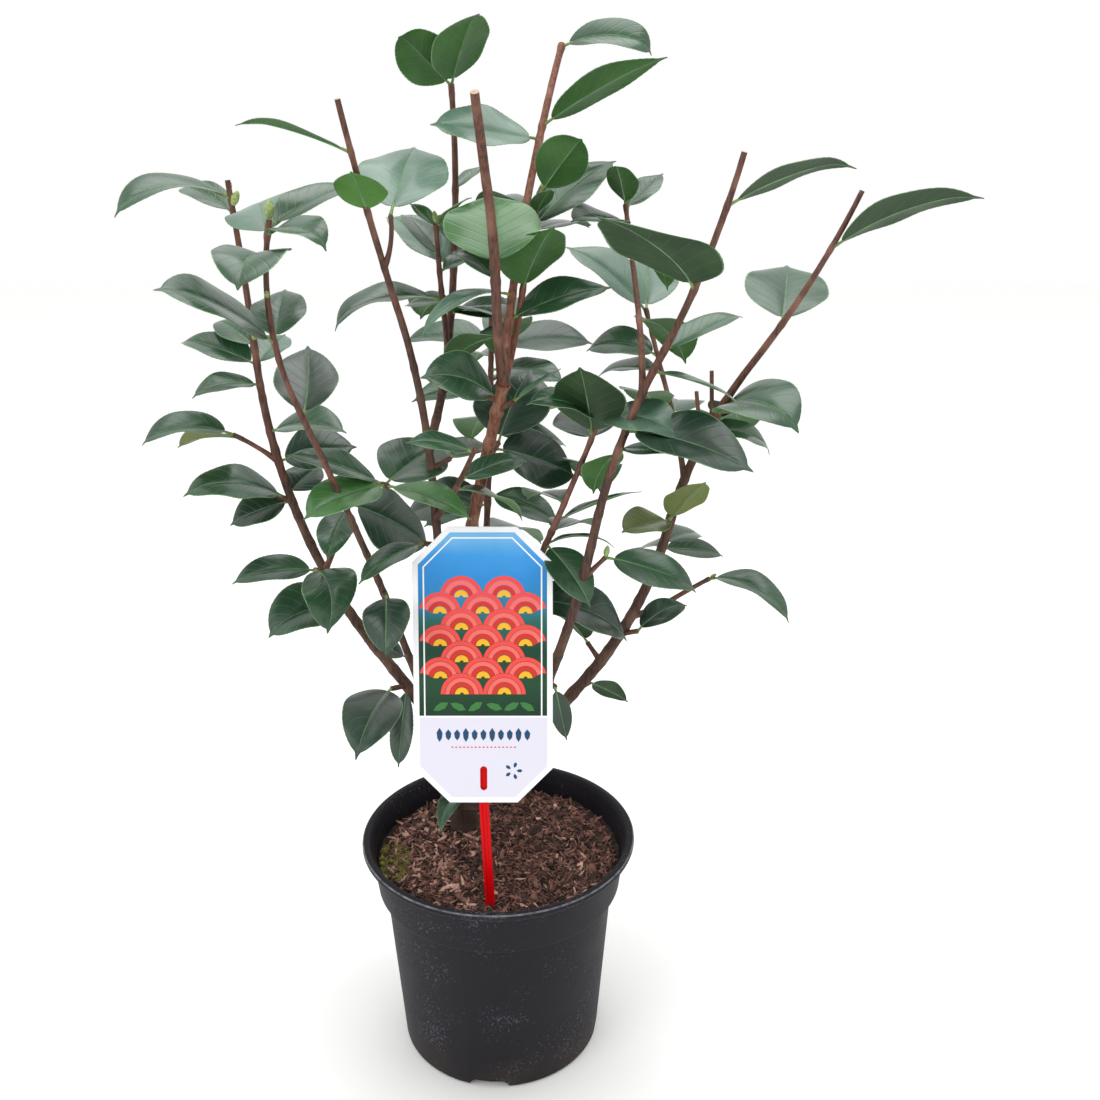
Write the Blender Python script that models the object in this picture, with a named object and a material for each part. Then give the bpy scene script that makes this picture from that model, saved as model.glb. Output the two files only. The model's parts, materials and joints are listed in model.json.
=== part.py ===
"""Camellia shrub in its round black nursery pot, with a plant label on a red stick.

Frame: metres, +Z up, -Y the side the label faces, origin at the centre of the pot's flat underside.
All working sizes are in millimetres and are turned to metres when a mesh is made.

The plant grows by one rule. A limb is a tapering stem that starts on a parent, keeps one compass heading,
and leans from the vertical by a few angles spread along it. The lower share of a main limb is a bough;
the rest of it is the stem of a mass, and carries leaves. A leaf is set by its place on the stem,
its heading, its rise, its length and how far it arches. Leaves at the back are dealt out by a seeded rule.
A leaf that would touch a limb or another leaf is turned a little, and is left out if that doesn't help.
"""

import math
import random

import bpy
import numpy as np
from mathutils.bvhtree import BVHTree

for old in list(bpy.data.objects):
    bpy.data.objects.remove(old, do_unlink=True)

MM = 0.001
GAP = 0.3  # clear space between pieces that touch
PART_SPARE = 0.1  # more room than the gap, where one piece is let into another

# ---------------------------------------------------------------- pot
POT_SIDES = 48
POT_HEIGHT = 162.0
POT_FOOT_R = 70.5
POT_NECK_R = 79.8  # wall just under the collar
COLLAR_LOW_R = 85.0
COLLAR_TOP_R = 88.5
COLLAR_LOW_Z = 124.0
RIM_R = 95.0
RIM_DEPTH = 8.5
WALL = 2.0
FLOOR = 3.0
NOTCHES = 4  # drain arches round the foot
NOTCH_TURN = -95.0
NOTCH_WIDTH = 24.0
NOTCH_HEIGHT = 6.0
NOTCH_REACH = 8.0

# ---------------------------------------------------------------- soil
SOIL_TOP = 145.0
SOIL_LUMP = 2.2
SOIL_RINGS = 4

# ---------------------------------------------------------------- label
CARD_WIDTH = 88.5
CARD_HEIGHT = 178.0
CARD_CORNER = 22.5
CARD_THICK = 1.2
CARD_LEAN = 14.0
CARD_FOOT = (-6.5, -55.0, 220.0)  # middle of its lower edge
SLOT_WIDTH = 4.6
SLOT_HEIGHT = 16.0
SLOT_RISE = 16.0  # slot centre above the lower edge
STICK_WIDTH = 6.2
STICK_THICK = 2.6
STICK_FOOT = (-0.8, -66.0, 88.0)  # its point, down in the soil
STICK_TOP_RISE = 27.0  # how far it runs up behind the card
STICK_POINT = 0.12  # share of the stick that is its point, and how wide the point's end is
STICK_POINT_WIDE = 0.25
CORNERS = ((-1, -1), (1, -1), (1, 1), (-1, 1))

# ---------------------------------------------------------------- plant
FORK = np.array([-24.0, 24.0, 180.0])
TRUNK_FOOT = np.array([-26.0, 31.0, SOIL_TOP + SOIL_LUMP + GAP])
TRUNK_R = 7.6
FLARE_R = 11.5
FLARE_HEIGHTS = (0.0, 0.16, 0.45, 1.0)  # shares of the trunk's height where the flare is set
PATH_STEPS = 48
TAPER_POWER = 0.85
RING_TURN = 11.0  # most degrees of bend between two rings of a limb
BOUGH_RINGS = 34.0  # rings along a bough, along a mass's stem and along the foot of a side limb
STEM_RINGS = 38.0
FOOT_RINGS = 18.0
TRUNK_SIDES = 10
BOUGH_SIDES = 7
STEM_SIDES = 6
TWIG_SIDES = 5
TWIG_LENGTH = 60.0  # a shorter limb is a twig
COLLAR_SPARE = 0.7  # how far a side limb is clear of its neighbours before it is its own piece
SEED = 41
LEAF_THICK = 1.25
STALK_HALF = 1.0  # least half width of a leaf
STALK_SPARE = 0.35  # a stalk is this much thicker than the blade, each way
LEAF_CLEAR = 0.5  # clear space round a blade
STALK_CLEAR_R = 1.6
LEAF_WIDTH = 0.5  # width over length
LEAF_FOLD = 15.0  # each half is raised by this many degrees
LEAF_FACING = 30.0  # a leaf that points sideways turns its face this far to the front
# along a leaf: share of its length, share of its half width
STATIONS = ((0.0, 0.0), (0.1, 0.05), (0.26, 0.74), (0.48, 1.0), (0.74, 0.8), (0.91, 0.28))
STALK_END = 0.2  # shares below this are stalk
# turns of heading and rise that are tried, in this order, until a leaf is clear
NUDGES = (
    (0, 0), (8, 0), (-8, 0), (0, 8), (0, -8), (15, 4), (-15, 4),
    (10, -12), (-10, -12), (24, 8), (-24, 8), (0, 18), (0, -20),
)
FILL_RISE = (-12, 22)  # seeded leaves: added to the row's rise
FILL_LENGTH = (48, 72)
FILL_ARCH = (20, 60)
FILL_WIDTH = (0.46, 0.58)
FILL_ROLL = (-14, 14)

# name: parent, place on it, heading, leans from the vertical, length, foot radius, tip radius, bough share
LIMBS = {
    "left": ("trunk", 1.0, 170, (19, 39, 20, 3, 6), 450, 4.6, 1.7, 0.57),
    "left_front": ("trunk", 1.0, 220, (24, 17, 21, 23, -14), 425, 2.9, 1.5, 0.62),
    "mid_left": ("trunk", 1.0, 235, (6, 7, 4, 22, 16), 475, 3.7, 1.6, 0.72),
    "main": ("trunk", 1.0, 310, (-18, 17, 21), 315, 4.8, 3.4, 1.0),
    "right_front": ("trunk", 1.0, 330, (45, 22, 12, 28, 15), 480, 4.2, 1.6, 0.58),
    "right": ("trunk", 1.0, 5, (51, 39, 13, 37, 24), 490, 5.0, 1.6, 0.62),
    "inner": ("trunk", 1.0, 335, (17, 15, 24, 21), 310, 3.0, 1.6, 0.49),
    "back": ("trunk", 1.0, 80, (30, 25, 12, 6), 345, 3.4, 1.7, 0.48),
    "mid_back": ("mid_left", 0.55, 75, (50, 20, 7, -9), 230, 2.9, 1.7, 0.34),
    "top_front": ("main", 1.0, 260, (29, 4, 28, 27), 175, 3.1, 2.5, 0),
    "top_back": ("main", 1.0, 70, (12, 26, 33, 40), 220, 2.6, 2.1, 0),
    "top_right": ("main", 0.99, 55, (30, 17, 14, 31), 120, 2.3, 1.5, 0),
    "centre": ("mid_back", 0.3, 265, (27, 22, 8), 85, 2.0, 1.4, 0),
    "inner_left": ("left", 0.42, 315, (36, 26, 92), 115, 2.0, 1.5, 0),
    "inner_mid": ("mid_left", 0.45, 300, (54, 42, 40), 85, 2.0, 1.4, 0),
    "inner_right": ("right", 0.57, 130, (13, 24, 22), 115, 2.0, 1.4, 0),
    "low_right": ("right", 0.36, 25, (89, 68, 73), 65, 2.1, 1.5, 0),
    "left_a": ("left", 0.2, 235, (75, 75), 16, 1.7, 1.5, 0),
    "left_b": ("left", 0.27, 140, (70, 70), 14, 1.7, 1.5, 0),
    "left_c": ("left", 0.345, 215, (65, 65), 14, 1.7, 1.5, 0),
    "left_d": ("left", 0.415, 250, (60, 60), 16, 1.7, 1.5, 0),
    "left_e": ("left", 0.535, 185, (60, 60), 16, 1.7, 1.5, 0),
    "front_a": ("left_front", 0.42, 285, (75, 75), 12, 1.6, 1.4, 0),
    "mid_a": ("mid_left", 0.41, 228, (70, 70), 14, 1.7, 1.5, 0),
    "mid_b": ("mid_left", 0.52, 20, (65, 65), 14, 1.7, 1.5, 0),
    "main_a": ("main", 0.82, 60, (60, 60), 18, 1.9, 1.6, 0),
    "main_b": ("main", 0.965, 200, (75, 75), 11, 1.8, 1.5, 0),
    "main_c": ("main", 0.94, 320, (60, 60), 16, 1.8, 1.5, 0),
    "right_a": ("right_front", 0.26, 290, (80, 80), 14, 1.7, 1.5, 0),
    "right_b": ("right_front", 0.43, 5, (45, 45), 20, 1.7, 1.4, 0),
    "right_c": ("right", 0.22, 35, (75, 75), 14, 1.7, 1.5, 0),
    "right_d": ("right", 0.28, 143, (45, 45), 16, 1.7, 1.5, 0),
    "right_e": ("right", 0.33, 330, (70, 70), 14, 1.7, 1.5, 0),
    "right_f": ("right", 0.45, 70, (65, 65), 16, 1.7, 1.5, 0),
    "right_g": ("right", 0.505, 265, (60, 60), 14, 1.7, 1.5, 0),
    "foot_a": ("trunk", 0.72, 250, (70, 70), 16, 1.7, 1.4, 0),
}
# shoots that are fused into the mass of their parent
SHOOTS = {
    "mid_shoot": ("mid_left", 0.8, 335, (28, -6), 30, 1.5, 1.3),
    "right_shoot": ("right_front", 0.7, 95, (13, 40, 52, 41), 130, 2.0, 1.4),
    "left_shoot": ("left", 0.6, 188, (48, 62), 34, 1.8, 1.4),
    "right_snag": ("right", 0.655, 120, (6, 4), 34, 1.6, 1.3),
    "right_snag_low": ("right", 0.63, 150, (16, 6), 32, 1.6, 1.3),
}

# stem: leaves as (place on it, heading, rise, length, arch, and where they differ width share, roll, fold)
LEAVES = {
    "left": (
        (0.975, 215, 30, 80, 65),
        (0.955, 140, 30, 60, 30),
        (0.77, 135, 25, 50, 20),
        (0.745, 170, 32, 60, 10),
        (0.715, 215, 20, 48, 40),
        (0.645, 335, 28, 64, 40),
        (0.62, 75, 5, 52, 20),
    ),
    "left_shoot": (
        (1.0, 200, 30, 62, 60),
        (0.85, 165, 5, 50, 30, 0.5, 20),
    ),
    "left_front": (
        (0.99, 50, 28, 68, 20),
        (0.98, 315, 25, 55, 50),
        (0.98, 140, 20, 56, 20, 0.6),
        (0.95, 265, 30, 60, 80, 0.62),
        (0.84, 230, 42, 84, 30, 0.5, -45),
        (0.82, 95, 30, 62, 20, 0.6),
        (0.73, 84, 22, 68, 10, 0.62),
    ),
    "mid_left": (
        (0.94, 162, 25, 75, 30, 0.48, 15),
        (0.87, 265, 30, 45, 10),
    ),
    "mid_shoot": ((1.0, 80, 35, 76, 20, 0.7),),
    "mid_back": (
        (0.995, 305, 62, 46, 12, 0.9),
        (0.975, 195, 42, 47, 8, 0.8, 50),
        (0.73, 262, 50, 40, 20),
        (0.52, 140, 30, 70, 20),
        (0.4, 325, 15, 50, 25, 0.65),
        (0.43, 165, 5, 45, 25, 0.6),
    ),
    "back": (
        (0.99, 5, 12, 72, 20),
        (0.97, 172, 10, 66, 20),
        (0.93, 70, 40, 60, 20),
        (0.88, 330, 15, 62, 30),
        (0.84, 205, 10, 60, 25),
        (0.75, 15, 0, 62, 25),
        (0.71, 160, 5, 56, 20),
        (0.62, 340, 0, 60, 30),
        (0.6, 210, 5, 52, 30),
    ),
    "centre": (
        (0.98, 300, 60, 20, 10),
        (0.98, 170, 55, 22, 10),
        (0.76, 125, 40, 50, 20),
        (0.5, 218, 20, 75, 70),
    ),
    "top_front": ((0.42, 95, 35, 78, 20, 0.68),),
    "top_back": (
        (0.99, 325, 25, 72, 70, 0.5, 5),
        (0.73, 350, 35, 85, 15, 0.36, -38),
        (0.69, 200, 10, 71, 0),
        (0.24, 215, 20, 70, 70),
        (0.17, 15, 30, 66, 25, 0.46),
    ),
    "top_right": (
        (0.99, 310, 45, 52, 10, 0.56, -45),
        (0.8, 35, 40, 62, 20),
        (0.87, 280, 40, 30, 20),
        (0.5, 315, 48, 44, 15, 0.75, 0, 22),
    ),
    "right_front": (
        (0.94, 15, 25, 80, 30, 0.36, -38),
        (0.84, 213, 39, 80, 10, 0.62, 45, 20),
        (0.76, 25, 25, 55, 10, 0.42, 10),
        (0.73, 20, -5, 45, 20, 0.4, 0),
        (0.645, 330, 5, 82, 30, 0.6),
        (0.62, 305, 25, 42, 10),
    ),
    "right_shoot": (
        (1.0, 255, 45, 42, 10),
        (0.98, 45, 35, 40, 10),
        (0.9, 225, -5, 50, 10),
    ),
    "right": (
        (0.92, 350, 30, 97, 28, 0.36, -38),
        (0.81, 75, 34, 66, 20, 0.8),
        (0.665, 320, 22, 72, 60, 0.6),
        (0.64, 20, 0, 50, 60),
    ),
    "inner_right": (
        (0.99, 85, 30, 66, 10, 0.72),
        (0.97, 148, 45, 72, 35),
    ),
    "inner": (
        (1.0, 262, 58, 52, 20, 0.75, 0, 22),
        (0.98, 325, 0, 58, 65),
        (0.96, 205, 50, 52, 60),
        (0.92, 105, -5, 45, 20, 0.65),
        (0.73, 10, 18, 58, 10, 0.42, -15),
        (0.7, 20, -5, 55, 40, 0.46, -12),
        (0.67, 300, 5, 45, 30),
        (0.52, 348, 0, 76, 55),
    ),
    "inner_left": (
        (0.99, 340, -5, 62, 20),
        (0.97, 70, 20, 55, 20),
        (0.95, 212, 28, 72, 20),
        (0.84, 225, -8, 64, 30, 0.55),
        (0.57, 30, -10, 72, 60, 0.55),
        (0.53, 260, -10, 50, 20),
    ),
    "inner_mid": ((0.95, 200, 30, 42, 30), (0.6, 20, 25, 45, 20)),
    "low_right": ((0.99, 335, 10, 68, 60),),
    "left_a": ((1.0, 240, -5, 72, 40, 0.58), (0.7, 275, -35, 50, 30)),
    "left_b": ((1.0, 135, -5, 50, 20),),
    "left_c": ((1.0, 200, 5, 52, 60, 0.65),),
    "left_d": ((1.0, 285, 20, 68, 75, 0.65), (0.8, 200, 15, 58, 30)),
    "left_e": ((1.0, 212, 25, 66, 30, 0.56), (0.8, 168, -15, 55, 20)),
    "front_a": ((1.0, 285, 10, 60, 60, 0.62),),
    "mid_a": ((1.0, 230, 5, 58, 30),),
    "mid_b": ((1.0, 60, 10, 46, 20),),
    "main_a": ((1.0, 65, 35, 75, 20, 0.56), (0.7, 35, -15, 60, 20)),
    "main_b": ((1.0, 205, 28, 58, 40, 0.64, -38),),
    "main_c": ((1.0, 338, 28, 72, 55, 0.5, 25),),
    "right_a": ((1.0, 278, -35, 42, 20),),
    "right_b": ((1.0, 345, -5, 62, 20, 0.55),),
    "right_c": ((1.0, 15, -20, 45, 10, 0.5, -20),),
    "right_d": ((1.0, 190, 60, 50, 10),),
    "right_e": ((1.0, 20, 28, 45, 50),),
    "right_f": ((1.0, 50, 10, 48, 30), (0.9, 120, -15, 42, 20), (0.7, 15, 0, 46, 20)),
    "right_g": ((1.0, 312, 45, 46, 10, 0.62, -20), (0.8, 215, 5, 48, 10, 0.55)),
    "foot_a": ((1.0, 250, -35, 44, 20),),
}
# seeded leaves for the side away from the label: stem, from, to, how many, middle heading, spread, rise
FILL = (
    ("back", 0.52, 0.95, 7, 85, 60, 5),
    ("left", 0.6, 0.72, 2, 95, 35, -10),
    ("left_front", 0.66, 0.9, 2, 100, 30, -15),
    ("mid_left", 0.74, 0.82, 1, 95, 10, -15),
    ("mid_back", 0.38, 0.75, 3, 95, 40, 0),
    ("centre", 0.4, 0.7, 1, 90, 30, -10),
    ("top_front", 0.15, 0.5, 2, 110, 50, -5),
    ("top_back", 0.1, 0.55, 4, 80, 60, -5),
    ("top_right", 0.3, 0.85, 2, 80, 50, -5),
    ("right_front", 0.6, 0.75, 2, 85, 40, -10),
    ("right_shoot", 0.25, 0.85, 2, 80, 40, -10),
    ("right", 0.63, 0.72, 2, 90, 30, -15),
    ("inner_right", 0.2, 0.9, 3, 95, 50, -5),
    ("inner", 0.55, 0.95, 4, 85, 45, -15),
    ("inner_mid", 0.3, 0.95, 2, 90, 50, -10),
)


def turn_of(way, rise):
    """Unit vector along a compass heading, raised by rise."""
    way, rise = math.radians(way), math.radians(rise)
    return np.array([math.cos(rise) * math.cos(way), math.cos(rise) * math.sin(way), math.sin(rise)])


def limb_path(foot, heading, leans, length):
    share = (np.arange(PATH_STEPS) + 0.5) / PATH_STEPS
    lean = np.radians(np.interp(share, np.linspace(0, 1, len(leans)), leans))
    way = math.radians(heading)
    step = np.stack([np.sin(lean) * math.cos(way), np.sin(lean) * math.sin(way), np.cos(lean)], 1)
    return np.vstack([foot, foot + np.cumsum(step, 0) * length / PATH_STEPS])


def on_path(path, share):
    place = min(max(share, 0.0), 1.0) * (len(path) - 1)
    return np.array([np.interp(place, np.arange(len(path)), path[:, i]) for i in range(3)])


def along(path, share):
    step = on_path(path, share + 0.01) - on_path(path, share - 0.01)
    return step / np.linalg.norm(step)


def radius_at(limb, share):
    return limb["r0"] + (limb["r1"] - limb["r0"]) * share**TAPER_POWER


def tube(points, ways, radii, sides):
    """Closed tube through the points, each ring square to its way."""
    side = np.cross(ways[0], (0.3, 1.0, 0.2))
    verts = []
    for point, way, radius in zip(points, ways, radii):
        side = side - way * side.dot(way)
        side = side / np.linalg.norm(side)
        other = np.cross(way, side)
        for k in range(sides):
            a = 2 * math.pi * k / sides
            verts.append(point + radius * (math.cos(a) * side + math.sin(a) * other))
    faces = []
    for i in range(len(points) - 1):
        for k in range(sides):
            a, b = i * sides + k, i * sides + (k + 1) % sides
            faces.append((a, b, b + sides, a + sides))
    faces.append(tuple(range(sides))[::-1])
    last = (len(points) - 1) * sides
    faces.append(tuple(range(last, last + sides)))
    return np.array(verts), faces


def limb_tube(limb, start, end, sides, spacing):
    """Part of a limb, with rings a set distance apart, or closer where it bends."""
    steps = [along(limb["path"], s) for s in np.linspace(start, end, 12)]
    bend = sum(math.degrees(math.acos(min(1.0, a.dot(b)))) for a, b in zip(steps, steps[1:]))
    count = max(2, round(limb["length"] * (end - start) / spacing) + 1, round(bend / RING_TURN) + 1)
    shares = np.linspace(start, end, count)
    points = [on_path(limb["path"], s) for s in shares]
    ways = [along(limb["path"], s) for s in shares]
    return tube(points, ways, [radius_at(limb, s) for s in shares], sides)


def leaf_blade(base, heading, rise, length, arch, width, roll, fold, first=0, spare=0.0):
    """Closed leaf: stalk, folded blade and drip tip. With spare, a little larger all round."""
    way = turn_of(heading, rise)
    side = np.array([-math.sin(math.radians(heading)), math.cos(math.radians(heading)), 0.0])
    up = np.cross(way, side)
    lean = math.radians(roll)
    fold = math.radians(fold)
    bend = math.radians(arch)
    half = length * width / 2
    verts = []
    for share, wide in STATIONS[first:]:
        turn = bend * share
        ahead = math.sin(turn) / bend if bend else share
        drop = (1 - math.cos(turn)) / bend if bend else 0.0
        middle = base + length * (ahead * way - drop * up)
        level = up * math.cos(turn) + way * math.sin(turn)
        normal = level * math.cos(lean) - side * math.sin(lean)
        edge = side * math.cos(lean) + level * math.sin(lean)
        stalk = share < STALK_END
        reach = max(half * wide, STALK_HALF) + spare
        thick = LEAF_THICK / 2 + spare + (STALK_SPARE if stalk else 0.0)
        lift = 0.0 if stalk else reach * math.sin(fold)
        across = reach if stalk else reach * math.cos(fold)
        verts += [
            middle + edge * across + normal * lift,
            middle + normal * thick,
            middle - edge * across + normal * lift,
            middle - normal * thick,
        ]
    turn = bend
    ahead = math.sin(turn) / bend if bend else 1.0
    drop = (1 - math.cos(turn)) / bend if bend else 0.0
    verts.append(base + (length + spare) * (ahead * way - drop * up))
    rings = len(STATIONS) - first
    faces = [(0, 1, 2), (0, 2, 3)]
    for i in range(rings - 1):
        for k in range(4):
            a, b = 4 * i + k, 4 * i + (k + 1) % 4
            c, d = b + 4, a + 4
            # the fold makes each quarter a twisted sheet, so it is split along its shorter way
            faces += [(a, c, b), (a, d, c)]
    tip = 4 * rings
    for k in range(4):
        a, b = tip - 4 + k, tip - 4 + (k + 1) % 4
        faces.append((a, tip, b))
    return np.array(verts), faces


def bvh_of(shape):
    verts, faces = shape
    return BVHTree.FromPolygons([tuple(v) for v in verts], faces)


def mesh_object(name, shape, flip=False):
    verts, faces = shape
    mesh = bpy.data.meshes.new(name)
    order = [tuple(f[::-1]) for f in faces] if flip else [tuple(f) for f in faces]
    mesh.from_pydata([tuple(v * MM for v in vert) for vert in verts], [], order)
    mesh.update()
    item = bpy.data.objects.new(name, mesh)
    bpy.context.scene.collection.objects.link(item)
    return item


def volume_of(shape):
    verts, faces = shape
    total = 0.0
    for face in faces:
        for k in range(1, len(face) - 1):
            total += np.dot(verts[face[0]], np.cross(verts[face[k]], verts[face[k + 1]])) / 6
    return total


def outward(shape):
    verts, faces = shape
    return shape if volume_of(shape) > 0 else (verts, [tuple(f[::-1]) for f in faces])


def fused(name, shapes):
    """One object that is the union of all the shapes."""
    body = mesh_object(name, outward(shapes[0]))
    if len(shapes) > 1:
        group = bpy.data.collections.new(name + "_pieces")
        bpy.context.scene.collection.children.link(group)
        for k, shape in enumerate(shapes[1:]):
            item = mesh_object(f"{name}_{k}", outward(shape))
            bpy.context.scene.collection.objects.unlink(item)
            group.objects.link(item)
        join = body.modifiers.new("join", "BOOLEAN")
        join.operation = "UNION"
        join.operand_type = "COLLECTION"
        join.collection = group
        join.solver = "MANIFOLD"
        graph = bpy.context.evaluated_depsgraph_get()
        made = bpy.data.meshes.new_from_object(body.evaluated_get(graph))
        body.modifiers.clear()
        old = body.data
        body.data = made
        bpy.data.meshes.remove(old)
        for item in list(group.objects):
            data = item.data
            bpy.data.objects.remove(item, do_unlink=True)
            bpy.data.meshes.remove(data)
        bpy.data.collections.remove(group)
    return body


def turned(profile, sides):
    """Closed ring or disc from a profile of (radius, height) that runs round it; radius 0 is the axis."""
    verts = []
    index = []
    for radius, height in profile:
        if radius == 0:
            index.append([len(verts)] * sides)
            verts.append(np.array([0.0, 0.0, height]))
            continue
        index.append(list(range(len(verts), len(verts) + sides)))
        for k in range(sides):
            a = 2 * math.pi * k / sides
            verts.append(np.array([radius * math.cos(a), radius * math.sin(a), height]))
    faces = []
    for low, high in zip(index, index[1:] + index[:1]):
        for k in range(sides):
            a, b, c, d = low[k], low[(k + 1) % sides], high[(k + 1) % sides], high[k]
            corners = [a] + [v for v in (b, c, d) if v != a]
            corners = list(dict.fromkeys(corners))
            if len(corners) > 2:
                faces.append(tuple(corners))
    return np.array(verts), faces


def prism(outline, low, high):
    """Upright prism over an outline of (x, y)."""
    count = len(outline)
    verts = [np.array([x, y, low]) for x, y in outline] + [np.array([x, y, high]) for x, y in outline]
    faces = [tuple(range(count))[::-1], tuple(range(count, 2 * count))]
    faces += [(k, (k + 1) % count, (k + 1) % count + count, k + count) for k in range(count)]
    return np.array(verts), faces


def cut(body, shapes):
    """Takes the shapes out of the body."""
    group = bpy.data.collections.new(body.name + "_cutters")
    bpy.context.scene.collection.children.link(group)
    for k, shape in enumerate(shapes):
        item = mesh_object(f"{body.name}_cut_{k}", outward(shape))
        bpy.context.scene.collection.objects.unlink(item)
        group.objects.link(item)
    take = body.modifiers.new("cut", "BOOLEAN")
    take.operation = "DIFFERENCE"
    take.operand_type = "COLLECTION"
    take.collection = group
    take.solver = "MANIFOLD"
    graph = bpy.context.evaluated_depsgraph_get()
    made = bpy.data.meshes.new_from_object(body.evaluated_get(graph))
    body.modifiers.clear()
    body.data = made
    for item in list(group.objects):
        bpy.data.objects.remove(item, do_unlink=True)
    bpy.data.collections.remove(group)


def material(name, colour, rough, coat=0.0):
    made = bpy.data.materials.new(name)
    made.use_nodes = True
    shader = made.node_tree.nodes["Principled BSDF"]
    shader.inputs["Base Color"].default_value = (*colour, 1.0)
    shader.inputs["Roughness"].default_value = rough
    shader.inputs["Coat Weight"].default_value = coat
    made.diffuse_color = (*colour, 1.0)
    return made


def paint(item, colour, rough, coat=0.0):
    item.data.materials.clear()
    item.data.materials.append(material("mat_" + item.name, colour, rough, coat))


# ---------------------------------------------------------------- pot and soil
def pot_inside(height):
    """Inner radius of the wall at a height."""
    if height < COLLAR_LOW_Z:
        return POT_FOOT_R + (POT_NECK_R - POT_FOOT_R) * height / COLLAR_LOW_Z - WALL
    share = (height - COLLAR_LOW_Z) / (POT_HEIGHT - RIM_DEPTH - COLLAR_LOW_Z)
    return COLLAR_LOW_R + (COLLAR_TOP_R - COLLAR_LOW_R) * share - WALL


rim_low = POT_HEIGHT - RIM_DEPTH
pot_profile = (
    (0.0, 0.0),
    (POT_FOOT_R - 1.5, 0.0),
    (POT_FOOT_R, 1.5),
    (POT_NECK_R, COLLAR_LOW_Z),
    (COLLAR_LOW_R, COLLAR_LOW_Z + 1.0),
    (COLLAR_TOP_R, rim_low),
    (RIM_R - 0.8, rim_low + 0.4),
    (RIM_R, rim_low + 2.0),
    (RIM_R, POT_HEIGHT - 2.2),
    (RIM_R - 1.6, POT_HEIGHT),
    (RIM_R - 4.2, POT_HEIGHT),
    (pot_inside(rim_low) + 0.6, POT_HEIGHT - 3.0),
    (pot_inside(COLLAR_LOW_Z + 3.0), COLLAR_LOW_Z + 3.0),
    (pot_inside(COLLAR_LOW_Z - 1.0), COLLAR_LOW_Z + 1.0),
    (pot_inside(FLOOR), FLOOR),
    (0.0, FLOOR),
)
pot = mesh_object("pot", outward(turned(pot_profile, POT_SIDES)))
notch_shapes = []
for k in range(NOTCHES):
    way = math.radians(NOTCH_TURN + 360.0 * k / NOTCHES)
    out_way = np.array([math.cos(way), math.sin(way), 0.0])
    across = np.array([-math.sin(way), math.cos(way), 0.0])
    arch = [(-NOTCH_WIDTH / 2, -1.0)]
    for step in range(7):
        turn = math.pi * (1 - step / 6)
        arch.append((NOTCH_WIDTH / 2 * math.cos(turn), NOTCH_HEIGHT * math.sin(turn)))
    arch.append((NOTCH_WIDTH / 2, -1.0))
    arch = list(dict.fromkeys((round(x, 3), round(z, 3)) for x, z in arch))
    count = len(arch)
    verts = []
    for reach in (POT_FOOT_R - NOTCH_REACH, POT_FOOT_R + 6.0):
        verts += [out_way * reach + across * x + np.array([0, 0, z]) for x, z in arch]
    faces = [tuple(range(count)), tuple(range(count, 2 * count))[::-1]]
    faces += [(k2, k2 + count, (k2 + 1) % count + count, (k2 + 1) % count) for k2 in range(count)]
    notch_shapes.append((np.array(verts), faces))
cut(pot, notch_shapes)
paint(pot, (0.022, 0.021, 0.024), 0.55)


def soil_height(x, y):
    """Level of the mulch: a low mound with a few swells."""
    far = math.hypot(x, y) / 86.0
    swell = math.sin(x * 0.07 + 1.1) * math.cos(y * 0.06 - 0.4) + 0.5 * math.sin(x * 0.15 - y * 0.11)
    return SOIL_TOP + SOIL_LUMP * (0.55 * (1 - far * far) + 0.28 * swell)


soil_verts = []
soil_index = []
soil_wall = (
    (pot_inside(FLOOR) - GAP, FLOOR + GAP),
    (pot_inside(COLLAR_LOW_Z - 1.0) - GAP, COLLAR_LOW_Z + 1.2),
    (pot_inside(COLLAR_LOW_Z + 5.0) - GAP, COLLAR_LOW_Z + 5.0),
)
for radius, height in soil_wall:
    soil_index.append(list(range(len(soil_verts), len(soil_verts) + POT_SIDES)))
    for k in range(POT_SIDES):
        a = 2 * math.pi * k / POT_SIDES
        soil_verts.append(np.array([radius * math.cos(a), radius * math.sin(a), height]))
for ring in range(SOIL_RINGS):
    soil_r = (pot_inside(SOIL_TOP) - 1.4) * (1 - ring / SOIL_RINGS)
    soil_index.append(list(range(len(soil_verts), len(soil_verts) + POT_SIDES)))
    for k in range(POT_SIDES):
        a = 2 * math.pi * k / POT_SIDES
        x, y = soil_r * math.cos(a), soil_r * math.sin(a)
        soil_verts.append(np.array([x, y, soil_height(x, y)]))
soil_faces = [tuple(soil_index[0])[::-1]]
for low, high in zip(soil_index, soil_index[1:]):
    for k in range(POT_SIDES):
        nxt = (k + 1) % POT_SIDES
        soil_faces += [(low[k], low[nxt], high[nxt]), (low[k], high[nxt], high[k])]
soil_verts.append(np.array([0.0, 0.0, soil_height(0.0, 0.0)]))
for k in range(POT_SIDES):
    soil_faces.append((soil_index[-1][k], soil_index[-1][(k + 1) % POT_SIDES], len(soil_verts) - 1))
soil = mesh_object("soil", outward((np.array(soil_verts), soil_faces)))

# ---------------------------------------------------------------- label
card_up = turn_of(90, 90 - CARD_LEAN)
card_out = np.cross(np.array([1.0, 0.0, 0.0]), card_up)  # towards the front
card_out = card_out if card_out[1] < 0 else -card_out
card_foot = np.array(CARD_FOOT)


def card_point(x, z, depth):
    return card_foot + np.array([x, 0.0, 0.0]) + card_up * z + card_out * depth


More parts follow.
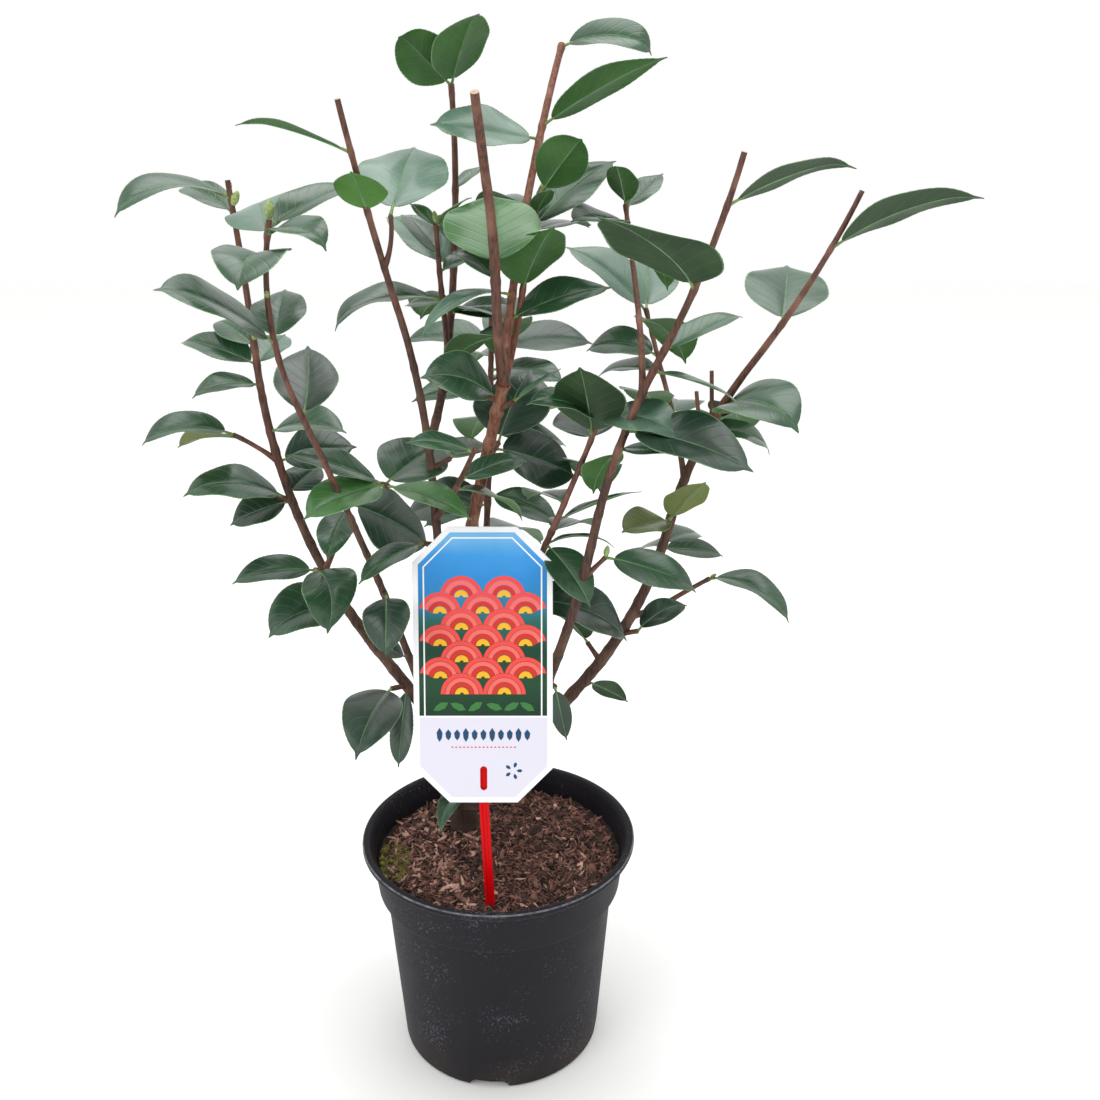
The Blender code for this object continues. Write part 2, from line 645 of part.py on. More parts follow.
def slab(outline, front, back):
    """Plate in the card's plane from an outline of (x, z)."""
    count = len(outline)
    verts = [card_point(x, z, front) for x, z in outline] + [card_point(x, z, back) for x, z in outline]
    faces = [tuple(range(count)), tuple(range(count, 2 * count))[::-1]]
    faces += [(k, k + count, (k + 1) % count + count, (k + 1) % count) for k in range(count)]
    return np.array(verts), faces


half_w = CARD_WIDTH / 2
card_outline = (
    (-half_w + CARD_CORNER, 0.0),
    (half_w - CARD_CORNER, 0.0),
    (half_w, CARD_CORNER),
    (half_w, CARD_HEIGHT - CARD_CORNER),
    (half_w - CARD_CORNER, CARD_HEIGHT),
    (-half_w + CARD_CORNER, CARD_HEIGHT),
    (-half_w, CARD_HEIGHT - CARD_CORNER),
    (-half_w, CARD_CORNER),
)
card = mesh_object("label_card", outward(slab(card_outline, CARD_THICK, 0.0)))
slot_outline = []
for end, sign in ((-1, 1), (1, -1)):
    for step in range(7):
        turn = math.pi * (1 + step / 6) if end < 0 else math.pi * step / 6
        straight = SLOT_HEIGHT / 2 - SLOT_WIDTH / 2
        x = SLOT_WIDTH / 2 * math.cos(turn)
        z = SLOT_RISE + end * straight + SLOT_WIDTH / 2 * math.sin(turn)
        slot_outline.append((x, z))
cut(card, [slab(slot_outline, CARD_THICK + 2.0, -2.0)])
paint(card, (0.82, 0.82, 0.84), 0.35)

stick_back = -(GAP + STICK_THICK / 2)
stick_low = np.array(STICK_FOOT)
stick_bend = card_point(0.0, -4.0, stick_back)
stick_top = card_point(0.0, STICK_TOP_RISE, stick_back)
stick_verts = []
stick_shoulder = stick_low + (stick_bend - stick_low) * STICK_POINT
stick_rings = ((stick_low, STICK_POINT_WIDE), (stick_shoulder, 1.0), (stick_bend, 1.0), (stick_top, 1.0))
for place, wide in stick_rings:
    for x, y in CORNERS:
        aside = np.array([x * STICK_WIDTH / 2 * wide, 0, 0])
        stick_verts.append(place + aside - card_out * y * STICK_THICK / 2)
stick_faces = [(0, 3, 2, 1), (12, 13, 14, 15)]
for ring in range(3):
    for k in range(4):
        a, b = 4 * ring + k, 4 * ring + (k + 1) % 4
        stick_faces.append((a, b, b + 4, a + 4))
stick_shape = outward((np.array(stick_verts), stick_faces))
stick = mesh_object("label_stick", stick_shape)
paint(stick, (0.62, 0.012, 0.016), 0.25, 0.3)

# the soil's pocket for the stick's point, open above the mulch
pocket_low = stick_low - np.array([0.0, 0.0, 2.0])
pocket_high = stick_low + (stick_bend - stick_low) * 0.7
pocket_verts = []
for place, wide in ((pocket_low, STICK_POINT_WIDE + 0.1), (stick_shoulder, 1.0), (pocket_high, 1.0)):
    for x, y in CORNERS:
        aside = np.array([x * (STICK_WIDTH / 2 * wide + GAP + PART_SPARE), 0, 0])
        pocket_verts.append(place + aside - card_out * y * (STICK_THICK / 2 + GAP + PART_SPARE))
pocket_faces = [(0, 3, 2, 1), (8, 9, 10, 11)]
for ring in range(2):
    for k in range(4):
        a, b = 4 * ring + k, 4 * ring + (k + 1) % 4
        pocket_faces.append((a, b, b + 4, a + 4))
cut(soil, [(np.array(pocket_verts), pocket_faces)])
paint(soil, (0.05, 0.028, 0.017), 0.95)

# ---------------------------------------------------------------- the plant's rule
limbs = {}
limbs["trunk"] = {
    "path": np.linspace(TRUNK_FOOT, FORK, PATH_STEPS + 1),
    "length": float(np.linalg.norm(FORK - TRUNK_FOOT)),
    "r0": TRUNK_R,
    "r1": TRUNK_R,
    "share": 1.0,
    "parent": None,
    "start": 0.0,
    "at": 0.0,
}


def add_limb(name, row, share):
    parent, at, heading, leans, length, r0, r1 = row
    foot = on_path(limbs[parent]["path"], at)
    limbs[name] = {
        "path": limb_path(foot, heading, leans, length),
        "length": length,
        "r0": r0,
        "r1": r1,
        "share": share,
        "parent": parent,
        "start": 0.0,
        "at": at,
    }


for limb_name, row in LIMBS.items():
    add_limb(limb_name, row[:7], row[7])
for shoot_name, row in SHOOTS.items():
    add_limb(shoot_name, row, 0)


def clear_share(name):
    """Where along itself a side limb stands clear of its parent and of the limbs that leave near it."""
    limb = limbs[name]
    parent = limbs[limb["parent"]]
    near = [(parent, parent["path"])]
    for other_name, other in limbs.items():
        same = other["parent"] == limb["parent"] and abs(other["at"] - limb["at"]) < 0.03
        if same and other_name != name and other_name not in SHOOTS:
            near.append((other, other["path"]))
    place = 0.0
    while place < 0.9:
        point = on_path(limb["path"], place)
        need = radius_at(limb, place) + COLLAR_SPARE
        if all(np.linalg.norm(path - point, axis=1).min() > need + other["r0"] for other, path in near):
            return place
        place += 1.0 / limb["length"]
    return place


for limb_name in LIMBS:
    limbs[limb_name]["start"] = clear_share(limb_name)
# limbs that leave one fork all start at the same distance from it
for parent_name, least in (("trunk", 1.0), ("main", 0.98)):
    names = [n for n, row in LIMBS.items() if row[0] == parent_name and row[1] >= least]
    reach = max(limbs[n]["start"] * limbs[n]["length"] for n in names)
    for limb_name in names:
        limbs[limb_name]["start"] = reach / limbs[limb_name]["length"]


def sides_of(limb):
    return STEM_SIDES if limb["length"] > TWIG_LENGTH else TWIG_SIDES


def stubs_on(name, low, high):
    """Feet of the side limbs that leave this limb between two places."""
    found = []
    for child_name in LIMBS:
        child = limbs[child_name]
        if child["parent"] == name and low <= child["at"] <= high:
            found.append(limb_tube(child, 0.0, child["start"], sides_of(child), FOOT_RINGS))
    return found


def gap_share(limb):
    return GAP / limb["length"]


pieces = {}  # node name: shapes to fuse
kinds = {}
foot_r = [FLARE_R, TRUNK_R + 1.2, TRUNK_R, TRUNK_R - 0.4]
trunk_line = [on_path(limbs["trunk"]["path"], s) for s in FLARE_HEIGHTS]
trunk_shape = tube(trunk_line, [along(limbs["trunk"]["path"], 0.5)] * 4, foot_r, TRUNK_SIDES)
trunk_shape[0][:TRUNK_SIDES, 2] = TRUNK_FOOT[2]  # flat cut at ground level
pieces["trunk"] = [trunk_shape] + stubs_on("trunk", 0.0, 1.0)
kinds["trunk"] = "bark"
stem_of = {}  # mass: the limb whose upper part is its stem
for limb_name, row in LIMBS.items():
    limb = limbs[limb_name]
    share = limb["share"]
    if share > 0:
        node = "bough_" + limb_name
        start = limb["start"] + gap_share(limb)
        tube_shape = limb_tube(limb, start, share, BOUGH_SIDES, BOUGH_RINGS)
        pieces[node] = [tube_shape] + stubs_on(limb_name, 0.0, share)
        kinds[node] = "bark"
    if share < 1:
        node = "foliage_" + limb_name
        start = (share or limb["start"]) + gap_share(limb)
        tube_shape = limb_tube(limb, start, 1.0, sides_of(limb), STEM_RINGS)
        pieces[node] = [tube_shape] + stubs_on(limb_name, share, 1.0)
        kinds[node] = "mass"
        stem_of[node] = limb_name
node_of = {limb_name: node for node, limb_name in stem_of.items()}
for shoot_name, row in SHOOTS.items():
    node_of[shoot_name] = node_of[row[0]]
    pieces[node_of[shoot_name]].append(limb_tube(limbs[shoot_name], 0.0, 1.0, TWIG_SIDES, STEM_RINGS))

solid_limbs = []  # every stretch of wood, with the node it belongs to
for node, shapes in pieces.items():
    for shape in shapes:
        solid_limbs.append((node, bvh_of(shape)))
fixed = [
    bvh_of(stick_shape),
    bvh_of(slab(card_outline, CARD_THICK + 1.0, -1.0)),
    bvh_of(turned(pot_profile, POT_SIDES // 2)),
    bvh_of((np.array(soil_verts), soil_faces)),
]
blades = []  # blades so far, with their node
stalks = []


def leaf_fits(node, blade, stalk):
    for other in fixed:
        if blade.overlap(other):
            return False
    for owner, wood in solid_limbs:
        if blade.overlap(wood) or (owner != node and stalk.overlap(wood)):
            return False
    for owner, other in blades:
        if blade.overlap(other) or (owner != node and stalk.overlap(other)):
            return False
    return not any(owner != node and blade.overlap(other) for owner, other in stalks)


def grow_leaf(stem, at, heading, rise, length, arch, width=LEAF_WIDTH, roll=None, fold=LEAF_FOLD):
    """Adds a leaf to its mass, turned a little where it would touch something."""
    if roll is None:
        roll = LEAF_FACING * math.cos(math.radians(heading))
    node = node_of[stem]
    limb = limbs[stem]
    base = on_path(limb["path"], at)
    for turn, tilt in NUDGES:
        row = (base, heading + turn, rise + tilt, length, arch, width, roll, fold)
        blade = bvh_of(leaf_blade(*row, first=1, spare=LEAF_CLEAR))
        whole = leaf_blade(*row)
        stalk_end = whole[0][4:8].mean(axis=0)
        stalk_way = (stalk_end - base) / np.linalg.norm(stalk_end - base)
        stalk = bvh_of(tube([base, stalk_end], [stalk_way] * 2, [STALK_CLEAR_R] * 2, TWIG_SIDES))
        if leaf_fits(node, blade, stalk):
            pieces[node].append(whole)
            blades.append((node, blade))
            stalks.append((node, stalk))
            return True
    return False


grown = 0
for stem, rows in LEAVES.items():
    for row in rows:
        grown += grow_leaf(stem, *row)
dice = random.Random(SEED)
filled = 0
for stem, low, high, count, middle, spread, rise in FILL:
    for k in range(count):
        at = low + (high - low) * (k + dice.uniform(0.15, 0.85)) / count
        heading = middle + dice.uniform(-1, 1) * spread
        tilt = rise + dice.uniform(*FILL_RISE)
        length = dice.uniform(*FILL_LENGTH)
        arch = dice.uniform(*FILL_ARCH)
        width = dice.uniform(*FILL_WIDTH)
        roll = dice.uniform(*FILL_ROLL)
        filled += grow_leaf(stem, at, heading, tilt, length, arch, width, roll)
print("leaves placed", grown, "and dealt out at the back", filled)

BARK = (0.13, 0.055, 0.036)
LEAF_GREEN = (0.045, 0.11, 0.05)
for node, shapes in pieces.items():
    item = fused(node, shapes)
    if kinds[node] == "bark":
        paint(item, BARK, 0.8)
    else:
        paint(item, LEAF_GREEN, 0.45)
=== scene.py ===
# %% [markdown]
# # A camellia shrub in its nursery pot
#
# The real thing is a young evergreen shrub, about half a metre across, sold in a black plastic pot with
# a picture label on a red stick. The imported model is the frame: it gives every solid at its true size and
# place. This file dresses it. The pot, the mulch, the label and the stick are built as finer meshes where
# their solids stand. The plant is grown again by the same rule that made its solids, with real bark,
# curved glossy leaves, leaf stalks and buds.

import json
import math
import random

import bpy
import numpy as np
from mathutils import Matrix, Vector, noise
from mathutils.bvhtree import BVHTree

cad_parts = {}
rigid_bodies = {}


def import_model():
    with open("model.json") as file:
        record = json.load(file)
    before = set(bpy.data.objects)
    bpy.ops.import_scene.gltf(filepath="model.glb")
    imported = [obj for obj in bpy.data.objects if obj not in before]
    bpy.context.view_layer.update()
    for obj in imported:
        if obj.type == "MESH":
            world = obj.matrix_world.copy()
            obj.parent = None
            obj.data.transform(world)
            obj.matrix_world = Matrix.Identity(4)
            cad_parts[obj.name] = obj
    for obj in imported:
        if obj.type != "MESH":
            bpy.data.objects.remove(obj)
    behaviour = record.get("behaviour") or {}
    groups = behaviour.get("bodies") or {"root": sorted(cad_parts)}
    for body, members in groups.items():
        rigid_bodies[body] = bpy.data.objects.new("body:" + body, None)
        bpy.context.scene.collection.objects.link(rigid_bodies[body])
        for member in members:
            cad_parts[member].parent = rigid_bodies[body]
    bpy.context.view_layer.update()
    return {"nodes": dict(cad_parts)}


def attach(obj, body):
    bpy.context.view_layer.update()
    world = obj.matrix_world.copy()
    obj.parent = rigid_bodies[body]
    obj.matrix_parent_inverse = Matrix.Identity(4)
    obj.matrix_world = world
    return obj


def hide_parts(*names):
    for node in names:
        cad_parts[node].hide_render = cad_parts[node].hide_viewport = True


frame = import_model()

# %% [markdown]
# ## Working units and small helpers
#
# Sizes below are in millimetres, as a grower or a potter would say them, and are turned to metres when a
# mesh is made. Colours are written as sRGB hex, the way a colour picker shows them, and one function
# turns them to the linear values that a renderer adds light with.

# %% Units and colours
MM = 0.001
SHARP = math.radians(40)  # faces that meet at a wider turn than this show an edge


def linear(hex_colour):
    """sRGB hex to linear RGBA."""
    channels = []
    for k in (1, 3, 5):
        c = int(hex_colour[k : k + 2], 16) / 255
        channels.append(c / 12.92 if c <= 0.04045 else ((c + 0.055) / 1.055) ** 2.4)
    return (*channels, 1.0)


print("mid grey in linear light:", round(linear("#808080")[0], 3))

# %% [markdown]
# A piece is points and faces until it is made a mesh object. Its place goes into the points themselves, so
# every object stands at the origin, unturned, and patterns that read Object coordinates stay put. Rings of
# points that follow each other are skinned by one helper, for stems, leaves, buds, card and stick alike.

# %% Meshes
def show_mesh(name, verts, faces, materials, slots=None, uv=None, smooth=True):
    """A mesh object from points in millimetres, with its place in its mesh."""
    mesh = bpy.data.meshes.new(name)
    mesh.from_pydata((np.asarray(verts) * MM).tolist(), [], faces)
    for made in materials:
        mesh.materials.append(made)
    if slots is not None:
        mesh.polygons.foreach_set("material_index", np.asarray(slots, np.int32))
    if uv is not None:
        corner = np.zeros(len(mesh.loops), np.int32)
        mesh.loops.foreach_get("vertex_index", corner)
        layer = mesh.uv_layers.new(name="leaf")
        layer.data.foreach_set("uv", np.asarray(uv, np.float32)[corner].ravel())
    if smooth:
        mesh.shade_smooth()
        mesh.set_sharp_from_angle(angle=SHARP)
    mesh.update()
    item = bpy.data.objects.new(name, mesh)
    bpy.context.scene.collection.objects.link(item)
    return item


def band(first, sides, rings, flip=False):
    """Quads between closed rings of points that follow each other, from the first ring's first point."""
    faces = []
    for ring in range(rings - 1):
        for k in range(sides):
            a, b = first + ring * sides + k, first + ring * sides + (k + 1) % sides
            faces.append((a, a + sides, b + sides, b) if flip else (a, b, b + sides, a + sides))
    return faces


print("skin between two rings of three points:", band(0, 3, 2))


# %% Keep, cut and settle
def keep_result(item):
    """What the object's modifiers make becomes its own plain mesh."""
    made = bpy.data.meshes.new_from_object(item.evaluated_get(bpy.context.evaluated_depsgraph_get()))
    item.modifiers.clear()
    item.data = made
    made.name = item.name


def cut_away(item, plug):
    """Cuts the plug out of the item, and removes the plug."""
    cut = item.modifiers.new("cut", "BOOLEAN")
    cut.operation = "DIFFERENCE"
    cut.solver = "EXACT"
    cut.object = plug
    keep_result(item)
    bpy.data.objects.remove(plug)


def settle(item, *nodes, slot):
    """The piece stands on the pot's body and stands for these solids, which it hides. The slot is not used.
    """
    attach(item, "root")
    if nodes:
        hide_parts(*nodes)
    item.data.calc_loop_triangles()
    print(item.name, len(item.data.loop_triangles), "triangles, stands for", len(nodes), "solids")


# %% [markdown]
# A material is a small tree of nodes. One helper adds a node with its settings, its values and its links,
# so a finish below reads as a list of what feeds what. Pattern sizes are given in millimetres.

# %% Nodes and materials
def add(tree, kind, inputs=None, **settings):
    """Adds one node with its settings, its values and its links."""
    node = tree.nodes.new(kind)
    for key, value in settings.items():
        setattr(node, key, value)
    for key, value in (inputs or {}).items():
        if isinstance(value, bpy.types.NodeSocket):
            tree.links.new(value, node.inputs[key])
        else:
            node.inputs[key].default_value = value
    return node


def per_mm(size):
    """The texture scale whose pattern repeats about every so many millimetres, on coordinates in metres."""
    return 1 / (size * MM)


def new_material(name, colour, rough, ior=1.5, shine=0.5):
    """A Principled material with plain values, its node tree, its shader and its Object coordinates."""
    made = bpy.data.materials.new(name)
    made.use_nodes = True
    tree = made.node_tree
    shader = tree.nodes["Principled BSDF"]
    shader.inputs["Base Color"].default_value = linear(colour)
    shader.inputs["Roughness"].default_value = rough
    shader.inputs["IOR"].default_value = ior
    shader.inputs["Specular IOR Level"].default_value = shine
    made.diffuse_color = linear(colour)
    place = add(tree, "ShaderNodeTexCoord").outputs["Object"]
    return made, tree, shader, place


def plain_finish(name, dark, light, size_mm, rough, bump_mm=0.0):
    """A finish with a soft mottle of two near colours and, if asked, a low relief of the same grain."""
    made, tree, shader, place = new_material(name, dark, rough)
    mottle = add(tree, "ShaderNodeTexNoise", {"Vector": place, "Scale": per_mm(size_mm), "Detail": 4.0})
    spread = add(tree, "ShaderNodeMapRange", {0: mottle.outputs["Fac"], 1: 0.32, 2: 0.68})
    mixed = add(tree, "ShaderNodeMix", {0: spread.outputs[0], 6: linear(dark), 7: linear(light)},
                data_type="RGBA")
    tree.links.new(mixed.outputs[2], shader.inputs["Base Color"])
    if bump_mm:
        bump = add(tree, "ShaderNodeBump", {"Height": mottle.outputs["Fac"], "Distance": bump_mm * MM})
        tree.links.new(bump.outputs[0], shader.inputs["Normal"])
    return made


print("texture scale of a 10 mm pattern:", per_mm(10.0))

# %% [markdown]
# ## Camera, floor and light
#
# A plant like this is shown from a little above eye level of the pot, so that the mulch can be seen and
# the crown still stands clear. The camera comes first: everything after it is judged through it. The
# light is a studio's: a white room, a wide soft box overhead that puts the grey sheen on waxy leaves,
# and a weaker one at the left for shape.

# %% Camera
CAMERA_PLACE = (0.036, -0.723, 0.640)
CAMERA_TILT = 69.7  # degrees from straight down
CAMERA_LENS = 39.27  # mm, on a 36 mm wide sensor

camera_data = bpy.data.cameras.new("camera")
camera_data.sensor_width = 36.0
camera_data.lens = CAMERA_LENS
camera = bpy.data.objects.new("camera", camera_data)
camera.location = CAMERA_PLACE
camera.rotation_euler = (math.radians(CAMERA_TILT), 0.0, 0.0)
bpy.context.scene.collection.objects.link(camera)
bpy.context.scene.camera = camera
print("camera looks down by", round(90 - CAMERA_TILT, 1), "degrees through a", CAMERA_LENS, "mm lens")

# %% Floor, room and lamps
bpy.context.scene.view_settings.view_transform = "Standard"  # colours show as they are written
FLOOR_REACH = 4000.0
ROOM_BRIGHTNESS = 1.0
LAMPS_FACE = (0.0, 0.0, 0.35)  # the middle of the plant, in metres
# matt background paper: it has no glint, so only the pot's soft shadow shows on it
STUDIO_PAPER = new_material("studio_paper", "#fdfdfc", 0.9)[0]
r = FLOOR_REACH
floor = show_mesh("studio_floor", [(-r, -r, 0), (r, -r, 0), (r, r, 0), (-r, r, 0)], [(0, 1, 2, 3)],
                  [STUDIO_PAPER], smooth=False)

world = bpy.data.worlds.new("white_room")
bpy.context.scene.world = world
world.use_nodes = True
world.node_tree.nodes["Background"].inputs["Color"].default_value = linear("#ffffff")
world.node_tree.nodes["Background"].inputs["Strength"].default_value = ROOM_BRIGHTNESS

# name: place in metres, side in metres, watts
LAMPS = {
    "overhead": ((0.1, 0.25, 1.9), 1.3, 15.0),
    "left_front": ((-1.3, -1.3, 1.3), 0.9, 7.0),
}
for name, (place, side, power) in LAMPS.items():
    lamp_data = bpy.data.lights.new(name, "AREA")
    lamp_data.size = side
    lamp_data.energy = power
    lamp = bpy.data.objects.new(name, lamp_data)
    lamp.location = place
    lamp.rotation_euler = (Vector(LAMPS_FACE) - Vector(place)).to_track_quat("-Z", "Y").to_euler()
    bpy.context.scene.collection.objects.link(lamp)
print("lamps:", {name: watts for name, (_, _, watts) in LAMPS.items()})

# %% [markdown]
# ## Leaf finishes
#
# A camellia leaf is leathery. Its upper side wears a clear waxy cuticle: dark green under a broad, soft
# sheen that turns pale where it is seen at a slant. Its underside has no wax to speak of and is a
# brighter, flatter green. The midrib and the hard rim are paler than both. Each of these is a material of
# its own, dealt out by faces, so the colours keep their places however the mesh is stored. The fine side
# veins are shallow relief with a trace of a lighter green, and follow the blade through its UV map. The
# pale tint also paints that slanting sheen into a greyer, lighter base colour, for leaves seen at a slant.

# %% Leaf skin
VEIN_PAIRS = 8.0
VEIN_SLANT = 1.9  # how many vein spaces a vein climbs on its way to the rim
VEIN_WIDTH = 0.11  # share of the space between two veins
VEIN_TINT = 0.045
GRAIN_MM = 1.1
GRAIN_DEPTH = 0.1
MOTTLE_MM = 24.0
COAT_ROUGH = 0.22


def leaf_finish(name, dark, light, rough, coat, vein_depth):
    """Waxy or matte leaf skin: mottled green, leathery grain, side veins as shallow furrows."""
    made, tree, shader, place = new_material(name, dark, rough)
    shader.inputs["Coat Weight"].default_value = coat
    shader.inputs["Coat Roughness"].default_value = COAT_ROUGH
    mottle = add(tree, "ShaderNodeTexNoise", {"Vector": place, "Scale": per_mm(MOTTLE_MM), "Detail": 3.0})
    spread = add(tree, "ShaderNodeMapRange", {0: mottle.outputs["Fac"], 1: 0.3, 2: 0.7})
    green = add(tree, "ShaderNodeMix", {0: spread.outputs[0], 6: linear(dark), 7: linear(light)},
                data_type="RGBA")
    uv = add(tree, "ShaderNodeUVMap", uv_map="leaf").outputs[0]
    split = add(tree, "ShaderNodeSeparateXYZ", {0: uv})
    half = add(tree, "ShaderNodeMath", {0: split.outputs["Y"], 1: 0.5}, operation="SUBTRACT")
    aside = add(tree, "ShaderNodeMath", {0: half.outputs[0]}, operation="ABSOLUTE")
    climb = add(tree, "ShaderNodeMath", {0: aside.outputs[0], 1: 2 * VEIN_SLANT}, operation="MULTIPLY")
    ladder = add(tree, "ShaderNodeMath", {0: split.outputs["X"], 1: VEIN_PAIRS}, operation="MULTIPLY")
    phase = add(tree, "ShaderNodeMath", {0: ladder.outputs[0], 1: climb.outputs[0]}, operation="SUBTRACT")
    swing = add(tree, "ShaderNodeMath", {0: phase.outputs[0], 1: 0.5}, operation="PINGPONG")
    furrow = add(tree, "ShaderNodeMapRange", {0: swing.outputs[0], 1: 0.0, 2: VEIN_WIDTH, 3: 1.0, 4: 0.0})
    tint = add(tree, "ShaderNodeMath", {0: furrow.outputs[0], 1: VEIN_TINT}, operation="MULTIPLY")
    veined = add(tree, "ShaderNodeMix", {0: tint.outputs[0], 6: green.outputs[2], 7: linear("#7fa377")},
                 data_type="RGBA")
    tree.links.new(veined.outputs[2], shader.inputs["Base Color"])
    grain = add(tree, "ShaderNodeTexNoise", {"Vector": place, "Scale": per_mm(GRAIN_MM), "Detail": 2.0})
    deep = add(tree, "ShaderNodeMath", {0: furrow.outputs[0], 1: -vein_depth}, operation="MULTIPLY")
    height = add(tree, "ShaderNodeMath", {0: grain.outputs["Fac"], 1: GRAIN_DEPTH, 2: deep.outputs[0]},
                 operation="MULTIPLY_ADD")
    bump = add(tree, "ShaderNodeBump", {"Height": height.outputs[0], "Distance": 0.0005, "Strength": 0.6})
    tree.links.new(bump.outputs[0], shader.inputs["Normal"])
    return made


print("pairs of side veins on a leaf:", VEIN_PAIRS)

# %% Leaf finishes by tint
# cuticle by tint: darker and lighter green, roughness, wax, depth of the veins. The wax gives the sheen
CUTICLE_LOOKS = {
    "old": ("#182f22", "#284433", 0.36, 0.35, 0.45),
    "grown": ("#1f3f29", "#2f5638", 0.34, 0.4, 0.45),
    "fresh": ("#33602f", "#46763c", 0.34, 0.35, 0.4),
    "olive": ("#4a5522", "#5d6a2c", 0.38, 0.2, 0.4),
    # pale: a greyer, lighter cuticle whose base colour holds painted sheen
    "pale": ("#466653", "#5d7d69", 0.4, 0.45, 0.4),
}
# underside by tint: darker and lighter green, roughness. It has no wax, so it looks flat
UNDERSIDE_LOOKS = {
    "old": ("#21391f", "#2d4826", 0.6),
    "grown": ("#305a26", "#3f6b2e", 0.58),
    "fresh": ("#3f7026", "#4f8330", 0.58),
    "olive": ("#525f25", "#667430", 0.6),
    # pale: a lighter underside for the leaves whose cuticle holds painted sheen
    "pale": ("#3f6a3c", "#55804c", 0.6),
}
UNDERSIDE_VEINS = -0.35  # they stand out, where the cuticle's are sunk
CUTICLE = {tint: leaf_finish("waxy_cuticle_" + tint, *look) for tint, look in CUTICLE_LOOKS.items()}
UNDERSIDE = {tint: leaf_finish("matte_underside_" + tint, *look, 0.0, UNDERSIDE_VEINS)
             for tint, look in UNDERSIDE_LOOKS.items()}
MIDRIB = plain_finish("midrib_green", "#4a704b", "#70976a", 9.0, 0.45)  # a pale line down each blade
RIM = plain_finish("leaf_rim_pale", "#3f6444", "#7a9a6c", 16.0, 0.5)  # hard edge that catches the light
STALK = plain_finish("leaf_stalk_green", "#4f6a34", "#7f9a50", 5.0, 0.45)  # yellow-green, fleshy
BUD = plain_finish("bud_scale_green", "#6f8a45", "#a9b878", 1.6, 0.5, 0.15)  # downy pale scales
print("leaf finishes:", [made.name for made in (*CUTICLE.values(), *UNDERSIDE.values())])

# %% [markdown]
# ## Bark
#
# Young camellia stems are red-brown and finely ribbed along their length. The old wood near the foot is
# duller, and the bark is darker towards the mulch. Ribs, leaf scars and collars are real relief in the mesh;
# the material adds streaks and patches of colour. The streaks are noise drawn out along the height, because
# nearly every stem here stands up, so its grain runs that way.

# %% Bark materials
GRAIN_LONG_MM = 14.0  # bark grain: how long a streak is, and how wide
GRAIN_WIDE_MM = 1.3
PATCH_MM = 17.0
DARKER_BELOW = (0.15, 0.2)  # metres: darkest under the first height, not darkened over the second
DARKEST_SHARE = 0.75


def bark_finish(name, dark, mid, pale, rough):
    """Streaked bark with paler patches, darkened near the mulch."""
    made, tree, shader, place = new_material(name, mid, rough)
    stretch = add(tree, "ShaderNodeMapping", {0: place, 3: (1.0, 1.0, GRAIN_WIDE_MM / GRAIN_LONG_MM)})
    streaks = add(tree, "ShaderNodeTexNoise",
                  {"Vector": stretch.outputs[0], "Scale": per_mm(GRAIN_WIDE_MM), "Detail": 4.0})
    patches = add(tree, "ShaderNodeTexNoise", {"Vector": place, "Scale": per_mm(PATCH_MM), "Detail": 3.0})
    low = add(tree, "ShaderNodeMapRange", {0: streaks.outputs["Fac"], 1: 0.34, 2: 0.62})
    high = add(tree, "ShaderNodeMapRange", {0: patches.outputs["Fac"], 1: 0.5, 2: 0.72, 4: 0.75})
    base = add(tree, "ShaderNodeMix", {0: low.outputs[0], 6: linear(dark), 7: linear(mid)}, data_type="RGBA")
    full = add(tree, "ShaderNodeMix", {0: high.outputs[0], 6: base.outputs[2], 7: linear(pale)},
               data_type="RGBA")
    height = add(tree, "ShaderNodeSeparateXYZ", {0: place})
    # darker towards the mulch: low on the stems the colour is mixed towards a dark brown
    low_darkening = add(tree, "ShaderNodeMapRange", {0: height.outputs["Z"], 1: DARKER_BELOW[0],
                                            2: DARKER_BELOW[1], 3: DARKEST_SHARE, 4: 0.0})
    low_tinted = add(tree, "ShaderNodeMix", {0: low_darkening.outputs[0], 6: full.outputs[2], 7: linear("#2c1f1a")},
                 data_type="RGBA")
    tree.links.new(low_tinted.outputs[2], shader.inputs["Base Color"])
    bump = add(tree, "ShaderNodeBump", {"Height": streaks.outputs["Fac"], "Distance": 0.0003,
                                        "Strength": 0.7})
    tree.links.new(bump.outputs[0], shader.inputs["Normal"])
    return made


OLD_BARK = bark_finish("bark_old_wood", "#34221b", "#583c2f", "#765b4b", 0.8)  # dull brown boughs
YOUNG_BARK = bark_finish("bark_young_shoot", "#3c231b", "#663e2e", "#88604d", 0.65)  # smoother, redder
RED_BARK = bark_finish("bark_red_stem", "#57321f", "#885440", "#b3886c", 0.65)  # the reddest stems
CUT_WOOD = plain_finish("cut_wood", "#a98b78", "#cdb5a2", 1.2, 0.8, 0.2)  # pale grain of a pruned end
print("bark finishes:", [made.name for made in (OLD_BARK, YOUNG_BARK, RED_BARK)])

# %% [markdown]
# ## The rule the plant grows by
#
# A limb starts at a place on its parent, keeps one compass heading and leans from the vertical by a few
# angles spread along its length. The fork sits just above the mulch, and every main limb leaves from it.
# The lower share of a main limb is a bough; the rest carries leaves. These are the same limbs, by the same
# rule, as the solids, so bark and solid lie on each other.

# %% Limbs
GAP = 0.3  # clear space between pieces that touch
SOIL_TOP = 145.0
SOIL_LUMP = 2.2
FORK = np.array([-24.0, 24.0, 180.0])
TRUNK_FOOT = np.array([-26.0, 31.0, SOIL_TOP + SOIL_LUMP + GAP])
TRUNK_R = 7.6
FLARE_R = 11.5
PATH_STEPS = 48
TAPER_POWER = 0.85
SEED = 41

